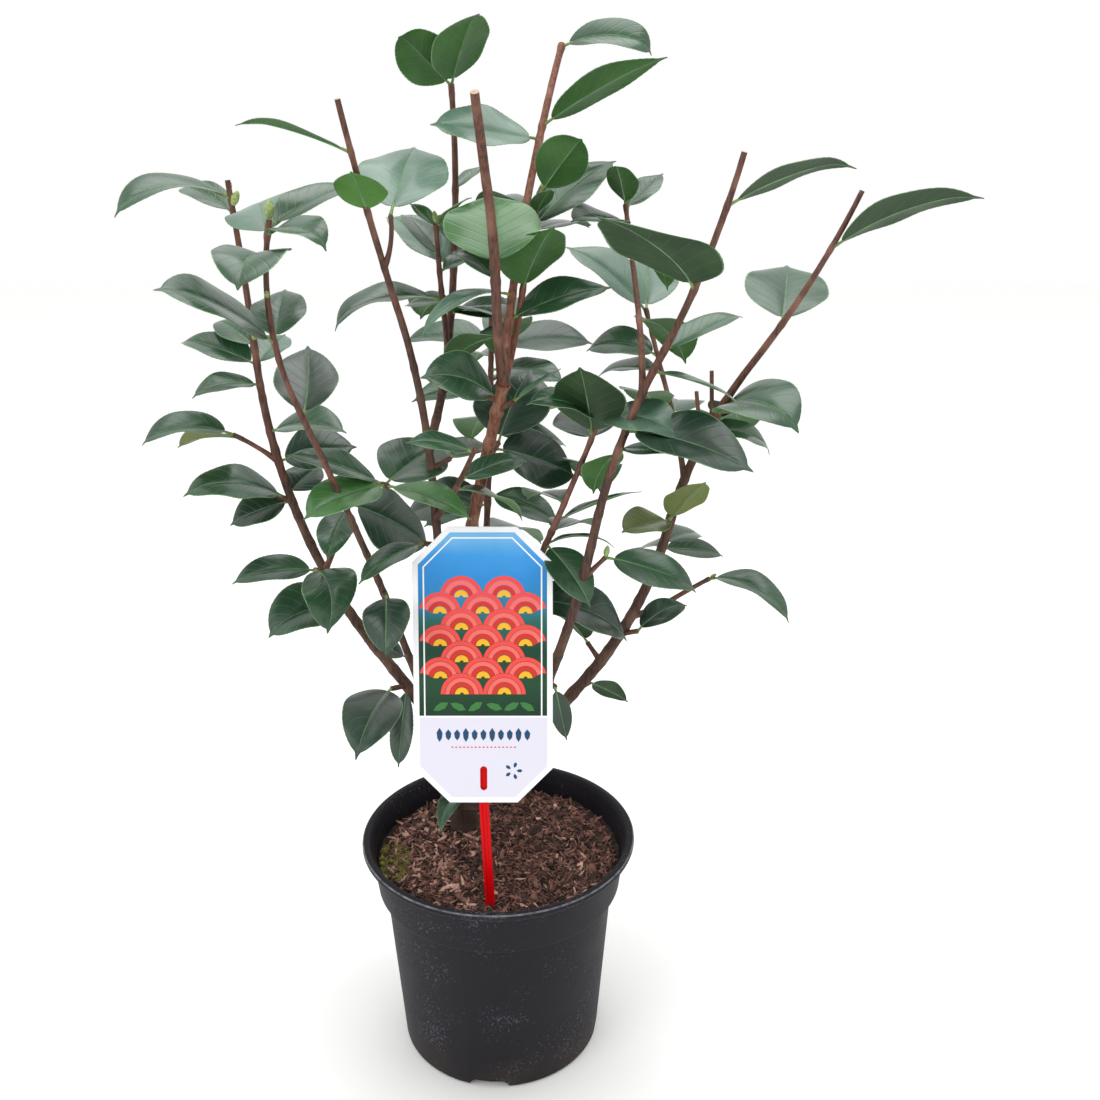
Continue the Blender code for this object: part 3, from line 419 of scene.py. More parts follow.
# name: parent, place on it, heading, leans from the vertical, length, foot radius, tip radius, bough share
LIMBS = {
    "left": ("trunk", 1.0, 170, (19, 39, 20, 3, 6), 450, 4.6, 1.7, 0.57),
    "left_front": ("trunk", 1.0, 220, (24, 17, 21, 23, -14), 425, 2.9, 1.5, 0.62),
    "mid_left": ("trunk", 1.0, 235, (6, 7, 4, 22, 16), 475, 3.7, 1.6, 0.72),
    "main": ("trunk", 1.0, 310, (-18, 17, 21), 315, 4.8, 3.4, 1.0),
    "right_front": ("trunk", 1.0, 330, (45, 22, 12, 28, 15), 480, 4.2, 1.6, 0.58),
    "right": ("trunk", 1.0, 5, (51, 39, 13, 37, 24), 490, 5.0, 1.6, 0.62),
    "inner": ("trunk", 1.0, 335, (17, 15, 24, 21), 310, 3.0, 1.6, 0.49),
    "back": ("trunk", 1.0, 80, (30, 25, 12, 6), 345, 3.4, 1.7, 0.48),
    "mid_back": ("mid_left", 0.55, 75, (50, 20, 7, -9), 230, 2.9, 1.7, 0.34),
    "top_front": ("main", 1.0, 260, (29, 4, 28, 27), 175, 3.1, 2.5, 0),
    "top_back": ("main", 1.0, 70, (12, 26, 33, 40), 220, 2.6, 2.1, 0),
    "top_right": ("main", 0.99, 55, (30, 17, 14, 31), 120, 2.3, 1.5, 0),
    "centre": ("mid_back", 0.3, 265, (27, 22, 8), 85, 2.0, 1.4, 0),
    "inner_left": ("left", 0.42, 315, (36, 26, 92), 115, 2.0, 1.5, 0),
    "inner_mid": ("mid_left", 0.45, 300, (54, 42, 40), 85, 2.0, 1.4, 0),
    "inner_right": ("right", 0.57, 130, (13, 24, 22), 115, 2.0, 1.4, 0),
    "low_right": ("right", 0.36, 25, (89, 68, 73), 65, 2.1, 1.5, 0),
    "left_a": ("left", 0.2, 235, (75, 75), 16, 1.7, 1.5, 0),
    "left_b": ("left", 0.27, 140, (70, 70), 14, 1.7, 1.5, 0),
    "left_c": ("left", 0.345, 215, (65, 65), 14, 1.7, 1.5, 0),
    "left_d": ("left", 0.415, 250, (60, 60), 16, 1.7, 1.5, 0),
    "left_e": ("left", 0.535, 185, (60, 60), 16, 1.7, 1.5, 0),
    "front_a": ("left_front", 0.42, 285, (75, 75), 12, 1.6, 1.4, 0),
    "mid_a": ("mid_left", 0.41, 228, (70, 70), 14, 1.7, 1.5, 0),
    "mid_b": ("mid_left", 0.52, 20, (65, 65), 14, 1.7, 1.5, 0),
    "main_a": ("main", 0.82, 60, (60, 60), 18, 1.9, 1.6, 0),
    "main_b": ("main", 0.965, 200, (75, 75), 11, 1.8, 1.5, 0),
    "main_c": ("main", 0.94, 320, (60, 60), 16, 1.8, 1.5, 0),
    "right_a": ("right_front", 0.26, 290, (80, 80), 14, 1.7, 1.5, 0),
    "right_b": ("right_front", 0.43, 5, (45, 45), 20, 1.7, 1.4, 0),
    "right_c": ("right", 0.22, 35, (75, 75), 14, 1.7, 1.5, 0),
    "right_d": ("right", 0.28, 143, (45, 45), 16, 1.7, 1.5, 0),
    "right_e": ("right", 0.33, 330, (70, 70), 14, 1.7, 1.5, 0),
    "right_f": ("right", 0.45, 70, (65, 65), 16, 1.7, 1.5, 0),
    "right_g": ("right", 0.505, 265, (60, 60), 14, 1.7, 1.5, 0),
    "foot_a": ("trunk", 0.72, 250, (70, 70), 16, 1.7, 1.4, 0),
}
# shoots that belong to their parent's foliage
SHOOTS = {
    "mid_shoot": ("mid_left", 0.8, 335, (28, -6), 30, 1.5, 1.3),
    "right_shoot": ("right_front", 0.7, 95, (13, 40, 52, 41), 130, 2.0, 1.4),
    "left_shoot": ("left", 0.6, 188, (48, 62), 34, 1.8, 1.4),
    "right_snag": ("right", 0.655, 120, (6, 4), 34, 1.6, 1.3),
    "right_snag_low": ("right", 0.63, 150, (16, 6), 32, 1.6, 1.3),
}


print("limbs:", len(LIMBS), "and", len(SHOOTS), "shoots")


# %% Paths of the limbs
def turn_of(way, rise):
    """Unit vector along a compass heading, raised by rise."""
    way, rise = math.radians(way), math.radians(rise)
    return np.array([math.cos(rise) * math.cos(way), math.cos(rise) * math.sin(way), math.sin(rise)])


def limb_path(foot, heading, leans, length):
    """Points of a limb that keeps its heading while its lean from the vertical changes."""
    share = (np.arange(PATH_STEPS) + 0.5) / PATH_STEPS
    lean = np.radians(np.interp(share, np.linspace(0, 1, len(leans)), leans))
    way = math.radians(heading)
    step = np.stack([np.sin(lean) * math.cos(way), np.sin(lean) * math.sin(way), np.cos(lean)], 1)
    return np.vstack([foot, foot + np.cumsum(step, 0) * length / PATH_STEPS])


def on_path(path, share):
    """The point at a share of a path's length."""
    place = min(max(share, 0.0), 1.0) * (len(path) - 1)
    return np.array([np.interp(place, np.arange(len(path)), path[:, i]) for i in range(3)])


def along(path, share):
    """The way a path runs at a share of its length."""
    step = on_path(path, share + 0.01) - on_path(path, share - 0.01)
    return step / np.linalg.norm(step)


def radius_at(limb, share):
    """Radius of a limb, which tapers faster near its foot."""
    return limb["r0"] + (limb["r1"] - limb["r0"]) * share**TAPER_POWER


limbs = {"trunk": {"path": np.linspace(TRUNK_FOOT, FORK, PATH_STEPS + 1), "r0": TRUNK_R, "r1": TRUNK_R,
                   "length": float(np.linalg.norm(FORK - TRUNK_FOOT)), "share": 1.0, "parent": None}}
for name, row in {**LIMBS, **SHOOTS}.items():
    parent, at, heading, leans, length, r0, r1 = row[:7]
    foot = on_path(limbs[parent]["path"], at)
    limbs[name] = {"path": limb_path(foot, heading, leans, length), "r0": r0, "r1": r1, "length": length,
                   "share": row[7] if len(row) > 7 else 0, "parent": parent, "at": at}
print("longest limb:", max(limb["length"] for limb in limbs.values()), "mm")

# %% [markdown]
# ## Leaves, placed by the rule
#
# A camellia carries its leaves one by one, turn and turn about, each on a short stalk above the scar of an
# older one. A row below is one leaf: its place on its stem, its heading, how far it rises, its length and
# how far it arches over. Where it isn't like the rest, the row goes on with its width share, its roll and
# its fold. The side away from the label is dealt out by a seeded rule. A leaf that would touch wood, pot,
# label or another leaf is turned a little, and is left out if that doesn't help.

# %% Leaf rows
LEAF_WIDTH = 0.5  # width over length
LEAF_FOLD = 15.0  # degrees by which each half is raised
LEAF_FACING = 30.0  # a leaf that points sideways turns its face this far to the front
# stem: (place, heading, rise, length, arch, then width, roll, fold where they aren't the usual)
LEAVES = {
    "left": (
        (0.975, 215, 30, 80, 65), (0.955, 140, 30, 60, 30), (0.77, 135, 25, 50, 20), (0.745, 170, 32, 60, 10),
        (0.715, 215, 20, 48, 40), (0.645, 335, 28, 64, 40), (0.62, 75, 5, 52, 20),
    ),
    "left_shoot": ((1.0, 200, 30, 62, 60), (0.85, 165, 5, 50, 30, 0.5, 20)),
    "left_front": (
        (0.99, 50, 28, 68, 20), (0.98, 315, 25, 55, 50), (0.98, 140, 20, 56, 20, 0.6),
        (0.95, 265, 30, 60, 80, 0.62), (0.84, 230, 42, 84, 30, 0.5, -45), (0.82, 95, 30, 62, 20, 0.6),
        (0.73, 84, 22, 68, 10, 0.62),
    ),
    "mid_left": ((0.94, 162, 25, 75, 30, 0.48, 15), (0.87, 265, 30, 45, 10)),
    "mid_shoot": ((1.0, 80, 35, 76, 20, 0.7),),
    "mid_back": (
        (0.995, 305, 62, 46, 12, 0.9), (0.975, 195, 42, 47, 8, 0.8, 50), (0.73, 262, 50, 40, 20),
        (0.52, 140, 30, 70, 20), (0.4, 325, 15, 50, 25, 0.65), (0.43, 165, 5, 45, 25, 0.6),
    ),
    "back": (
        (0.99, 5, 12, 72, 20), (0.97, 172, 10, 66, 20), (0.93, 70, 40, 60, 20), (0.88, 330, 15, 62, 30),
        (0.84, 205, 10, 60, 25), (0.75, 15, 0, 62, 25), (0.71, 160, 5, 56, 20), (0.62, 340, 0, 60, 30),
        (0.6, 210, 5, 52, 30),
    ),
    "centre": (
        (0.98, 300, 60, 20, 10), (0.98, 170, 55, 22, 10), (0.76, 125, 40, 50, 20), (0.5, 218, 20, 75, 70),
    ),
    "top_front": ((0.42, 95, 35, 78, 20, 0.68),),
    "top_back": (
        (0.99, 325, 25, 72, 70, 0.5, 5), (0.73, 350, 35, 85, 15, 0.36, -38), (0.69, 200, 10, 71, 0),
        (0.24, 215, 20, 70, 70), (0.17, 15, 30, 66, 25, 0.46),
    ),
    "top_right": (
        (0.99, 310, 45, 52, 10, 0.56, -45), (0.8, 35, 40, 62, 20), (0.87, 280, 40, 30, 20),
        (0.5, 315, 48, 44, 15, 0.75, 0, 22),
    ),
    "right_front": (
        (0.94, 15, 25, 80, 30, 0.36, -38), (0.84, 213, 39, 80, 10, 0.62, 45, 20),
        (0.76, 25, 25, 55, 10, 0.42, 10), (0.73, 20, -5, 45, 20, 0.4, 0), (0.645, 330, 5, 82, 30, 0.6),
        (0.62, 305, 25, 42, 10),
    ),
    "right_shoot": ((1.0, 255, 45, 42, 10), (0.98, 45, 35, 40, 10), (0.9, 225, -5, 50, 10)),
    "right": (
        (0.92, 350, 30, 97, 28, 0.36, -38), (0.81, 75, 34, 66, 20, 0.8), (0.665, 320, 22, 72, 60, 0.6),
        (0.64, 20, 0, 50, 60),
    ),
    "inner_right": ((0.99, 85, 30, 66, 10, 0.72), (0.97, 148, 45, 72, 35)),
    "inner": (
        (1.0, 262, 58, 52, 20, 0.75, 0, 22), (0.98, 325, 0, 58, 65), (0.96, 205, 50, 52, 60),
        (0.92, 105, -5, 45, 20, 0.65), (0.73, 10, 18, 58, 10, 0.42, -15), (0.7, 20, -5, 55, 40, 0.46, -12),
        (0.67, 300, 5, 45, 30), (0.52, 348, 0, 76, 55),
    ),
    "inner_left": (
        (0.99, 340, -5, 62, 20), (0.97, 70, 20, 55, 20), (0.95, 212, 28, 72, 20),
        (0.84, 225, -8, 64, 30, 0.55), (0.57, 30, -10, 72, 60, 0.55), (0.53, 260, -10, 50, 20),
    ),
    "inner_mid": ((0.95, 200, 30, 42, 30), (0.6, 20, 25, 45, 20)),
    "low_right": ((0.99, 335, 10, 68, 60),),
    "left_a": ((1.0, 240, -5, 72, 40, 0.58), (0.7, 275, -35, 50, 30)),
    "left_b": ((1.0, 135, -5, 50, 20),),
    "left_c": ((1.0, 200, 5, 52, 60, 0.65),),
    "left_d": ((1.0, 285, 20, 68, 75, 0.65), (0.8, 200, 15, 58, 30)),
    "left_e": ((1.0, 212, 25, 66, 30, 0.56), (0.8, 168, -15, 55, 20)),
    "front_a": ((1.0, 285, 10, 60, 60, 0.62),),
    "mid_a": ((1.0, 230, 5, 58, 30),),
    "mid_b": ((1.0, 60, 10, 46, 20),),
    "main_a": ((1.0, 65, 35, 75, 20, 0.56), (0.7, 35, -15, 60, 20)),
    "main_b": ((1.0, 205, 28, 58, 40, 0.64, -38),),
    "main_c": ((1.0, 338, 28, 72, 55, 0.5, 25),),
    "right_a": ((1.0, 278, -35, 42, 20),),
    "right_b": ((1.0, 345, -5, 62, 20, 0.55),),
    "right_c": ((1.0, 15, -20, 45, 10, 0.5, -20),),
    "right_d": ((1.0, 190, 60, 50, 10),),
    "right_e": ((1.0, 20, 28, 45, 50),),
    "right_f": ((1.0, 50, 10, 48, 30), (0.9, 120, -15, 42, 20), (0.7, 15, 0, 46, 20)),
    "right_g": ((1.0, 312, 45, 46, 10, 0.62, -20), (0.8, 215, 5, 48, 10, 0.55)),
    "foot_a": ((1.0, 250, -35, 44, 20),),
}
FILL_RISE = (-12, 22)  # seeded leaves: added to the row's rise
FILL_LENGTH = (48, 72)
FILL_ARCH = (20, 60)
FILL_WIDTH = (0.46, 0.58)
FILL_ROLL = (-14, 14)
# stem, from, to, how many, middle heading, spread, rise
FILL = (
    ("back", 0.52, 0.95, 7, 85, 60, 5),
    ("left", 0.6, 0.72, 2, 95, 35, -10),
    ("left_front", 0.66, 0.9, 2, 100, 30, -15),
    ("mid_left", 0.74, 0.82, 1, 95, 10, -15),
    ("mid_back", 0.38, 0.75, 3, 95, 40, 0),
    ("centre", 0.4, 0.7, 1, 90, 30, -10),
    ("top_front", 0.15, 0.5, 2, 110, 50, -5),
    ("top_back", 0.1, 0.55, 4, 80, 60, -5),
    ("top_right", 0.3, 0.85, 2, 80, 50, -5),
    ("right_front", 0.6, 0.75, 2, 85, 40, -10),
    ("right_shoot", 0.25, 0.85, 2, 80, 40, -10),
    ("right", 0.63, 0.72, 2, 90, 30, -15),
    ("inner_right", 0.2, 0.9, 3, 95, 50, -5),
    ("inner", 0.55, 0.95, 4, 85, 45, -15),
    ("inner_mid", 0.3, 0.95, 2, 90, 50, -10),
)
print("rows:", sum(len(rows) for rows in LEAVES.values()), "seeded:", sum(row[3] for row in FILL))

# %% [markdown]
# Whether a leaf fits is settled on plain shapes: every limb as a tube, every leaf as the few-sided blade
# that its solid has, grown by the clear space it needs. A bounding volume tree tells fast whether two of
# them touch.

# %% Plain shapes for the fitting
LEAF_THICK = 1.25  # the solids' leaf, used to see what touches what
STALK_HALF = 1.0
STALK_SPARE = 0.35
STATIONS = ((0.0, 0.0), (0.1, 0.05), (0.26, 0.74), (0.48, 1.0), (0.74, 0.8), (0.91, 0.28))
STALK_END = 0.2
LEAF_CLEAR = 0.5
STALK_CLEAR_R = 1.6
WOOD_STEP = 20  # mm between the rings of a limb's plain tube
# turns of the heading and the rise that are tried in this order, in degrees
NUDGES = (
    (0, 0), (8, 0), (-8, 0), (0, 8), (0, -8), (15, 4), (-15, 4),
    (10, -12), (-10, -12), (24, 8), (-24, 8), (0, 18), (0, -20),
)


def tube(points, ways, radii, sides):
    """Closed tube through the points, each ring square to its way. A radius is one number or one a side."""
    side = np.cross(ways[0], (0.3, 1.0, 0.2))
    turn = 2 * math.pi * np.arange(sides) / sides
    rings = []
    for point, way, radius in zip(points, ways, radii):
        side = side - way * side.dot(way)
        side = side / np.linalg.norm(side)
        other = np.cross(way, side)
        reach = np.broadcast_to(radius, sides)[:, None]
        rings.append(point + reach * (np.cos(turn)[:, None] * side + np.sin(turn)[:, None] * other))
    faces = band(0, sides, len(points))
    faces.append(tuple(range(sides))[::-1])
    last = (len(points) - 1) * sides
    faces.append(tuple(range(last, last + sides)))
    return np.vstack(rings), faces


def bvh_of(verts, faces):
    """Bounding volume tree of a shape."""
    return BVHTree.FromPolygons([tuple(v) for v in verts], faces)


def solid_bvh(node):
    """Bounding volume tree of a solid, in millimetres."""
    mesh = frame["nodes"][node].data
    return bvh_of([v.co / MM for v in mesh.vertices], [tuple(p.vertices) for p in mesh.polygons])


# %% A leaf's midline and its plain blade
def leaf_frame(base, heading, rise, length, arch, roll, share):
    """Where a leaf's midline is at a share of its length, with the ways across it and up from its face."""
    way = turn_of(heading, rise)
    side = np.array([-math.sin(math.radians(heading)), math.cos(math.radians(heading)), 0.0])
    up = np.cross(way, side)
    lean = math.radians(roll)
    bend = math.radians(arch)
    turn = bend * share
    ahead = math.sin(turn) / bend if bend else share
    drop = (1 - math.cos(turn)) / bend if bend else 0.0
    level = up * math.cos(turn) + way * math.sin(turn)
    normal = level * math.cos(lean) - side * math.sin(lean)
    edge = side * math.cos(lean) + level * math.sin(lean)
    return base + length * (ahead * way - drop * up), edge, normal


def coarse_leaf(base, heading, rise, length, arch, width, roll, fold):
    """The blade as the solids have it, without its stalk and a little larger, and where its stalk ends."""
    verts = []
    fold = math.radians(fold)
    for share, wide in STATIONS[1:]:
        middle, edge, normal = leaf_frame(base, heading, rise, length, arch, roll, share)
        stalk = share < STALK_END
        if stalk:
            stalk_end = middle
        reach = max(length * width / 2 * wide, STALK_HALF) + LEAF_CLEAR
        thick = LEAF_THICK / 2 + LEAF_CLEAR + (STALK_SPARE if stalk else 0.0)
        lift = 0.0 if stalk else reach * math.sin(fold)
        across = reach if stalk else reach * math.cos(fold)
        verts += [middle + edge * across + normal * lift, middle + normal * thick,
                  middle - edge * across + normal * lift, middle - normal * thick]
    verts.append(leaf_frame(base, heading, rise, length + LEAF_CLEAR, arch, roll, 1.0)[0])
    faces = [(0, 1, 2), (0, 2, 3)]
    for i in range(len(STATIONS) - 2):
        for k in range(4):
            a, b = 4 * i + k, 4 * i + (k + 1) % 4
            faces += [(a, b + 4, b), (a, a + 4, b + 4)]
    tip = len(verts) - 1
    faces += [(tip - 4 + k, tip, tip - 4 + (k + 1) % 4) for k in range(4)]
    return verts, faces, stalk_end


print("a leaf is tried", len(NUDGES), "ways")

# %% What the leaves keep clear of
node_of = {name: "foliage_" + name for name, row in LIMBS.items() if row[7] < 1}
for name, row in SHOOTS.items():
    node_of[name] = node_of[row[0]]
wood = []  # every limb as a plain tube, bough and leafy part apart, with the solid it belongs to
for name, limb in limbs.items():
    for low, high, owner in ((0.0, limb["share"], "bark"), (limb["share"], 1.0, node_of.get(name))):
        if high > low:
            shares = np.linspace(low, high, max(3, round(limb["length"] * (high - low) / WOOD_STEP)))
            line = [on_path(limb["path"], s) for s in shares]
            ways = [along(limb["path"], s) for s in shares]
            wood.append((owner, bvh_of(*tube(line, ways, [radius_at(limb, s) for s in shares], 6))))
fixed = [solid_bvh(node) for node in ("pot", "soil", "label_card", "label_stick")]
print("kept clear of:", len(wood), "lengths of limb and", len(fixed), "other solids")

# %% Where each leaf goes
blades = []
stalks = []
grown = []  # (stem, place, heading, rise, length, arch, width, roll, fold)


def leaf_fits(node, blade, stalk):
    """True where a leaf touches nothing but its own stem, beyond what its own mass allows."""
    if any(blade.overlap(other) for other in fixed):
        return False
    for owner, other in wood:
        if blade.overlap(other) or (owner != node and owner != "bark" and stalk.overlap(other)):
            return False
    for owner, other in blades:
        if blade.overlap(other) or (owner != node and stalk.overlap(other)):
            return False
    return not any(owner != node and blade.overlap(other) for owner, other in stalks)


def place_leaf(stem, at, heading, rise, length, arch, width=LEAF_WIDTH, roll=None, fold=LEAF_FOLD):
    """Grows a leaf at the first nudge where it fits. False if none does."""
    if roll is None:
        roll = LEAF_FACING * math.cos(math.radians(heading))
    node = node_of[stem]
    base = on_path(limbs[stem]["path"], at)
    for turn, tilt in NUDGES:
        row = (heading + turn, rise + tilt, length, arch, width, roll, fold)
        verts, faces, stalk_end = coarse_leaf(base, *row)
        blade = bvh_of(verts, faces)
        way = (stalk_end - base) / np.linalg.norm(stalk_end - base)
        stalk = bvh_of(*tube([base, stalk_end], [way] * 2, [STALK_CLEAR_R] * 2, 5))
        if leaf_fits(node, blade, stalk):
            blades.append((node, blade))
            stalks.append((node, stalk))
            grown.append((stem, at, *row))
            return True
    return False


left_out = []
for stem, rows in LEAVES.items():
    for row in rows:
        if not place_leaf(stem, *row):
            left_out.append((stem, *row))
dice = random.Random(SEED)
for stem, low, high, count, middle, spread, rise in FILL:
    for k in range(count):
        at = low + (high - low) * (k + dice.uniform(0.15, 0.85)) / count
        heading = middle + dice.uniform(-1, 1) * spread
        tilt = rise + dice.uniform(*FILL_RISE)
        length = dice.uniform(*FILL_LENGTH)
        arch = dice.uniform(*FILL_ARCH)
        width = dice.uniform(*FILL_WIDTH)
        roll = dice.uniform(*FILL_ROLL)
        place_leaf(stem, at, heading, tilt, length, arch, width, roll)
print("leaves placed:", len(grown), "rows left out:", left_out)

# %% [markdown]
# ## Wood: trunk, boughs and twigs
#
# A stem is a tube whose rings stand close enough to carry relief: ribs that run along it, a slow swelling
# where a leaf stands or stood, and a collar where it leaves its parent. The trunk also flares at the mulch.
# Stems that were pruned end in a flat pale cut. The boughs and the trunk are one piece, the leafy twigs
# another.

# %% Bark relief
BOUGH_SIDES = 22
TWIG_SIDES = 14
BOUGH_STEP = 1.5  # mm between rings
TWIG_STEP = 2.0
RIB = 0.045  # height of the ribs, as a share of the radius
RIB_COUNT = 3.1  # how finely the ribs divide the girth
RIB_RUN = 0.045  # how fast the ribs change along a stem, per mm
LUMP = 0.05
LUMP_RUN = 0.16
RIB_SHIFT, LUMP_SHIFT = 7.7, 3.3  # every limb reads a part of the noise of its own
FLARE_FADE = 5.5  # mm over which the trunk's flare dies away
COLLAR = 0.28  # swelling at a limb's foot, as a share of its radius, and how far it reaches
COLLAR_REACH = 9.0
KNUCKLE = 0.2  # swelling under a leaf, as a share of the radius, and how far it reaches
KNUCKLE_REACH = 2.4
SCAR_SPACE = 21.0  # mm between the scars of fallen leaves on bare wood
# limbs that end in a pruner's cut
PRUNED = {"top_front", "mid_left", "right_front", "right", "left", "mid_shoot", "right_snag",
          "right_snag_low", "inner", "back"}
RED_STEMS = {"main", "top_back", "top_right"}  # the newest and reddest wood
leaf_places = {}
for row in grown:
    leaf_places.setdefault(row[0], []).append(row[1])
print("stems with leaves:", len(leaf_places), "most on one:", max(len(p) for p in leaf_places.values()))


# %% One stem
def stem_shape(name, low, high, sides, spacing):
    """Tube along part of a limb, with the slots of its faces: bark, then the cut or grown end."""
    limb = limbs[name]
    order = list(limbs).index(name)
    count = max(4, round(limb["length"] * (high - low) / spacing))
    shares = np.linspace(low, high, count + 1)
    turn = 2 * math.pi * np.arange(sides) / sides
    bare = limb["length"] * limb["share"]
    scars = [s * SCAR_SPACE / limb["length"] for s in range(1, int(bare / SCAR_SPACE))]
    swells = [child["at"] for child in limbs.values() if child["parent"] == name]
    swells += leaf_places.get(name, []) + scars
    points, ways, radii = [], [], []
    for share in shares:
        far = share * limb["length"]
        radius = radius_at(limb, share)
        if name == "trunk":
            radius = TRUNK_R + (FLARE_R - TRUNK_R) * math.exp(-far / FLARE_FADE)
        else:
            radius *= 1 + COLLAR * math.exp(-((far / COLLAR_REACH) ** 2))
        for place in swells:
            near = (share - place) * limb["length"] / KNUCKLE_REACH
            if abs(near) < 3:
                radius += KNUCKLE * limb["r1"] * math.exp(-near * near)
        ring = []
        for a in turn:
            ribbed = (RIB_COUNT * math.cos(a), RIB_COUNT * math.sin(a), far * RIB_RUN + RIB_SHIFT * order)
            rib = noise.noise(Vector(ribbed))
            lump = noise.noise(Vector((math.cos(a), math.sin(a), far * LUMP_RUN + LUMP_SHIFT * order)))
            ring.append(radius * (1 + RIB * 2 * rib + LUMP * lump))
        radii.append(np.array(ring))
        points.append(on_path(limb["path"], share))
        ways.append(along(limb["path"], share))
    verts, faces = tube(points, ways, radii, sides)
    if name == "trunk":
        verts[:sides, 2] = TRUNK_FOOT[2]
    skin = 2 if name in RED_STEMS else 0
    slots = [skin] * (len(faces) - 1) + [1 if name in PRUNED and high == 1.0 else skin]
    return verts, faces, slots


def join_shapes(shapes):
    """One list of points, faces and slots from several."""
    verts, faces, slots = [], [], []
    start = 0
    for shape_verts, shape_faces, shape_slots in shapes:
        verts.append(shape_verts)
        faces += [tuple(v + start for v in face) for face in shape_faces]
        slots += shape_slots
        start += len(shape_verts)
    return np.vstack(verts), faces, slots


# %% Trunk, boughs and twigs
bough_shapes = []
twig_shapes = []
for name, limb in limbs.items():
    share = limb["share"]
    if share > 0:
        bough_shapes.append(stem_shape(name, 0.0, share, BOUGH_SIDES, BOUGH_STEP))
    if share < 1:
        twig_shapes.append(stem_shape(name, share, 1.0, TWIG_SIDES, TWIG_STEP))
verts, faces, slots = join_shapes(bough_shapes)
bark = show_mesh("bark", verts, faces, [OLD_BARK, CUT_WOOD, RED_BARK], slots)
settle(bark, "trunk", *["bough_" + n for n, row in LIMBS.items() if row[7] > 0], slot="bark")
verts, faces, slots = join_shapes(twig_shapes)
twigs = show_mesh("twigs", verts, faces, [YOUNG_BARK, CUT_WOOD, RED_BARK], slots)

# %% [markdown]
# ## Leaf blades
#
# Every blade is a closed skin of its own, drawn along the same midline as its solid: a rounded base, its
# greatest width a little below the middle, and a drawn-out tip that lets rain run off. The halves are
# raised to a shallow trough, then fall away towards the rim, and the rim waves a little. The midrib is a
# furrow above and a ridge below. Rows of faces carry the rim's and the midrib's own colours.

# %% Measures of a blade
BLADE_STEPS = 44
BLADE_FROM = 0.085  # share of a leaf that is stalk
FIRST_AT = 0.01  # shares of the blade where the first ring and the last one stand
TIP_AT = 0.988
BODY_END = 0.94  # share of the blade where its rounded body ends; the drip tip goes on
WIDEST = 0.9  # under 1 brings the widest place nearer the base
BLUNT = 0.68  # under 1 makes base and body fuller
TAPER_FROM = 0.35
TAPER_RATE = 0.62
DRIP_WIDE = 0.16  # half width of the drip tip where it starts, as a share of the blade's
DRIP_FROM = 0.86
DRIP_POWER = 0.85
TOOTH = 0.22  # mm: how far the fine teeth of the rim stand out
TEETH = (0.08, 0.9)  # shares of the blade between which the rim has teeth
RIM_AT = 0.972
ACROSS = (-1.0, -RIM_AT, -0.76, -0.52, -0.27, "rib", 0.0, "rib", 0.27, 0.52, 0.76, RIM_AT, 1.0)
BLADE_THICK = 0.45
RIM_THICK = 0.28
LEAST_HALF = 0.5  # mm: the blade is never narrower than twice this
FURROW = 0.2  # mm: how far the midrib is sunk above
RIB_WIDE = 0.54  # mm from the middle to the midrib's side at the base
RIB_NARROWS = 0.7  # how much of that is gone at the tip
RIB_MOST = 0.2  # the most it takes of the half width
RIB_DEEP = 0.5  # how far the midrib's ridge stands out below
REFLEX = 0.1  # how far the rim falls away from the fold, as a share of the half width
WAVE = 0.055  # how far the rim waves, as a share of the half width
WAVE_SHIFT = 2.1  # how much the right rim's wave is ahead of the left one's
FOLD_FADE = 0.75  # how much of the fold is gone at the tip
FADE_FROM = 0.55
FADE_OVER = 0.4
CURL_FROM = 0.74  # share of the leaf from which the tip curls under
STALK_R = 0.95
STALK_SIDES = 7
columns = len(ACROSS)
ring_size = 2 * columns
# face slots round a ring: 0 upper, 1 under, 2 midrib, 3 rim. The stalk is slot 4
COLUMN_SLOT = []
for k in range(ring_size):
    side = k % columns
    if side in (0, columns - 2, columns - 1):
        COLUMN_SLOT.append(3)
    elif side in (columns // 2 - 1, columns // 2):
        COLUMN_SLOT.append(2)
    else:
        COLUMN_SLOT.append(0 if k < columns else 1)
blade_at = []  # where the rings stand: closer at both ends
for k in range(BLADE_STEPS):
    eased = 0.5 * (1 - math.cos(math.pi * k / BLADE_STEPS))
    even = k / (BLADE_STEPS - 1)
    blade_at.append(FIRST_AT + (TIP_AT - FIRST_AT) * (0.5 * eased + 0.5 * even))
blade_at[-1] = TIP_AT
print("a blade has", BLADE_STEPS, "rings of", ring_size, "points")


# %% A blade's outline and one ring of it
def outline(t, taper):
    """Half width of the blade at a share of its length, 1 at its widest. Taper draws out the far half."""
    u = min(1.0, t / BODY_END)
    body = max(0.0, math.sin(math.pi * u**WIDEST)) ** BLUNT
    if t > TAPER_FROM:
        body *= (1 - TAPER_RATE * (t - TAPER_FROM)) ** taper
    drip = 0.0
    if t > DRIP_FROM:
        drip = DRIP_WIDE * ((1 - t) / (1 - DRIP_FROM)) ** DRIP_POWER
    return max(body, drip)


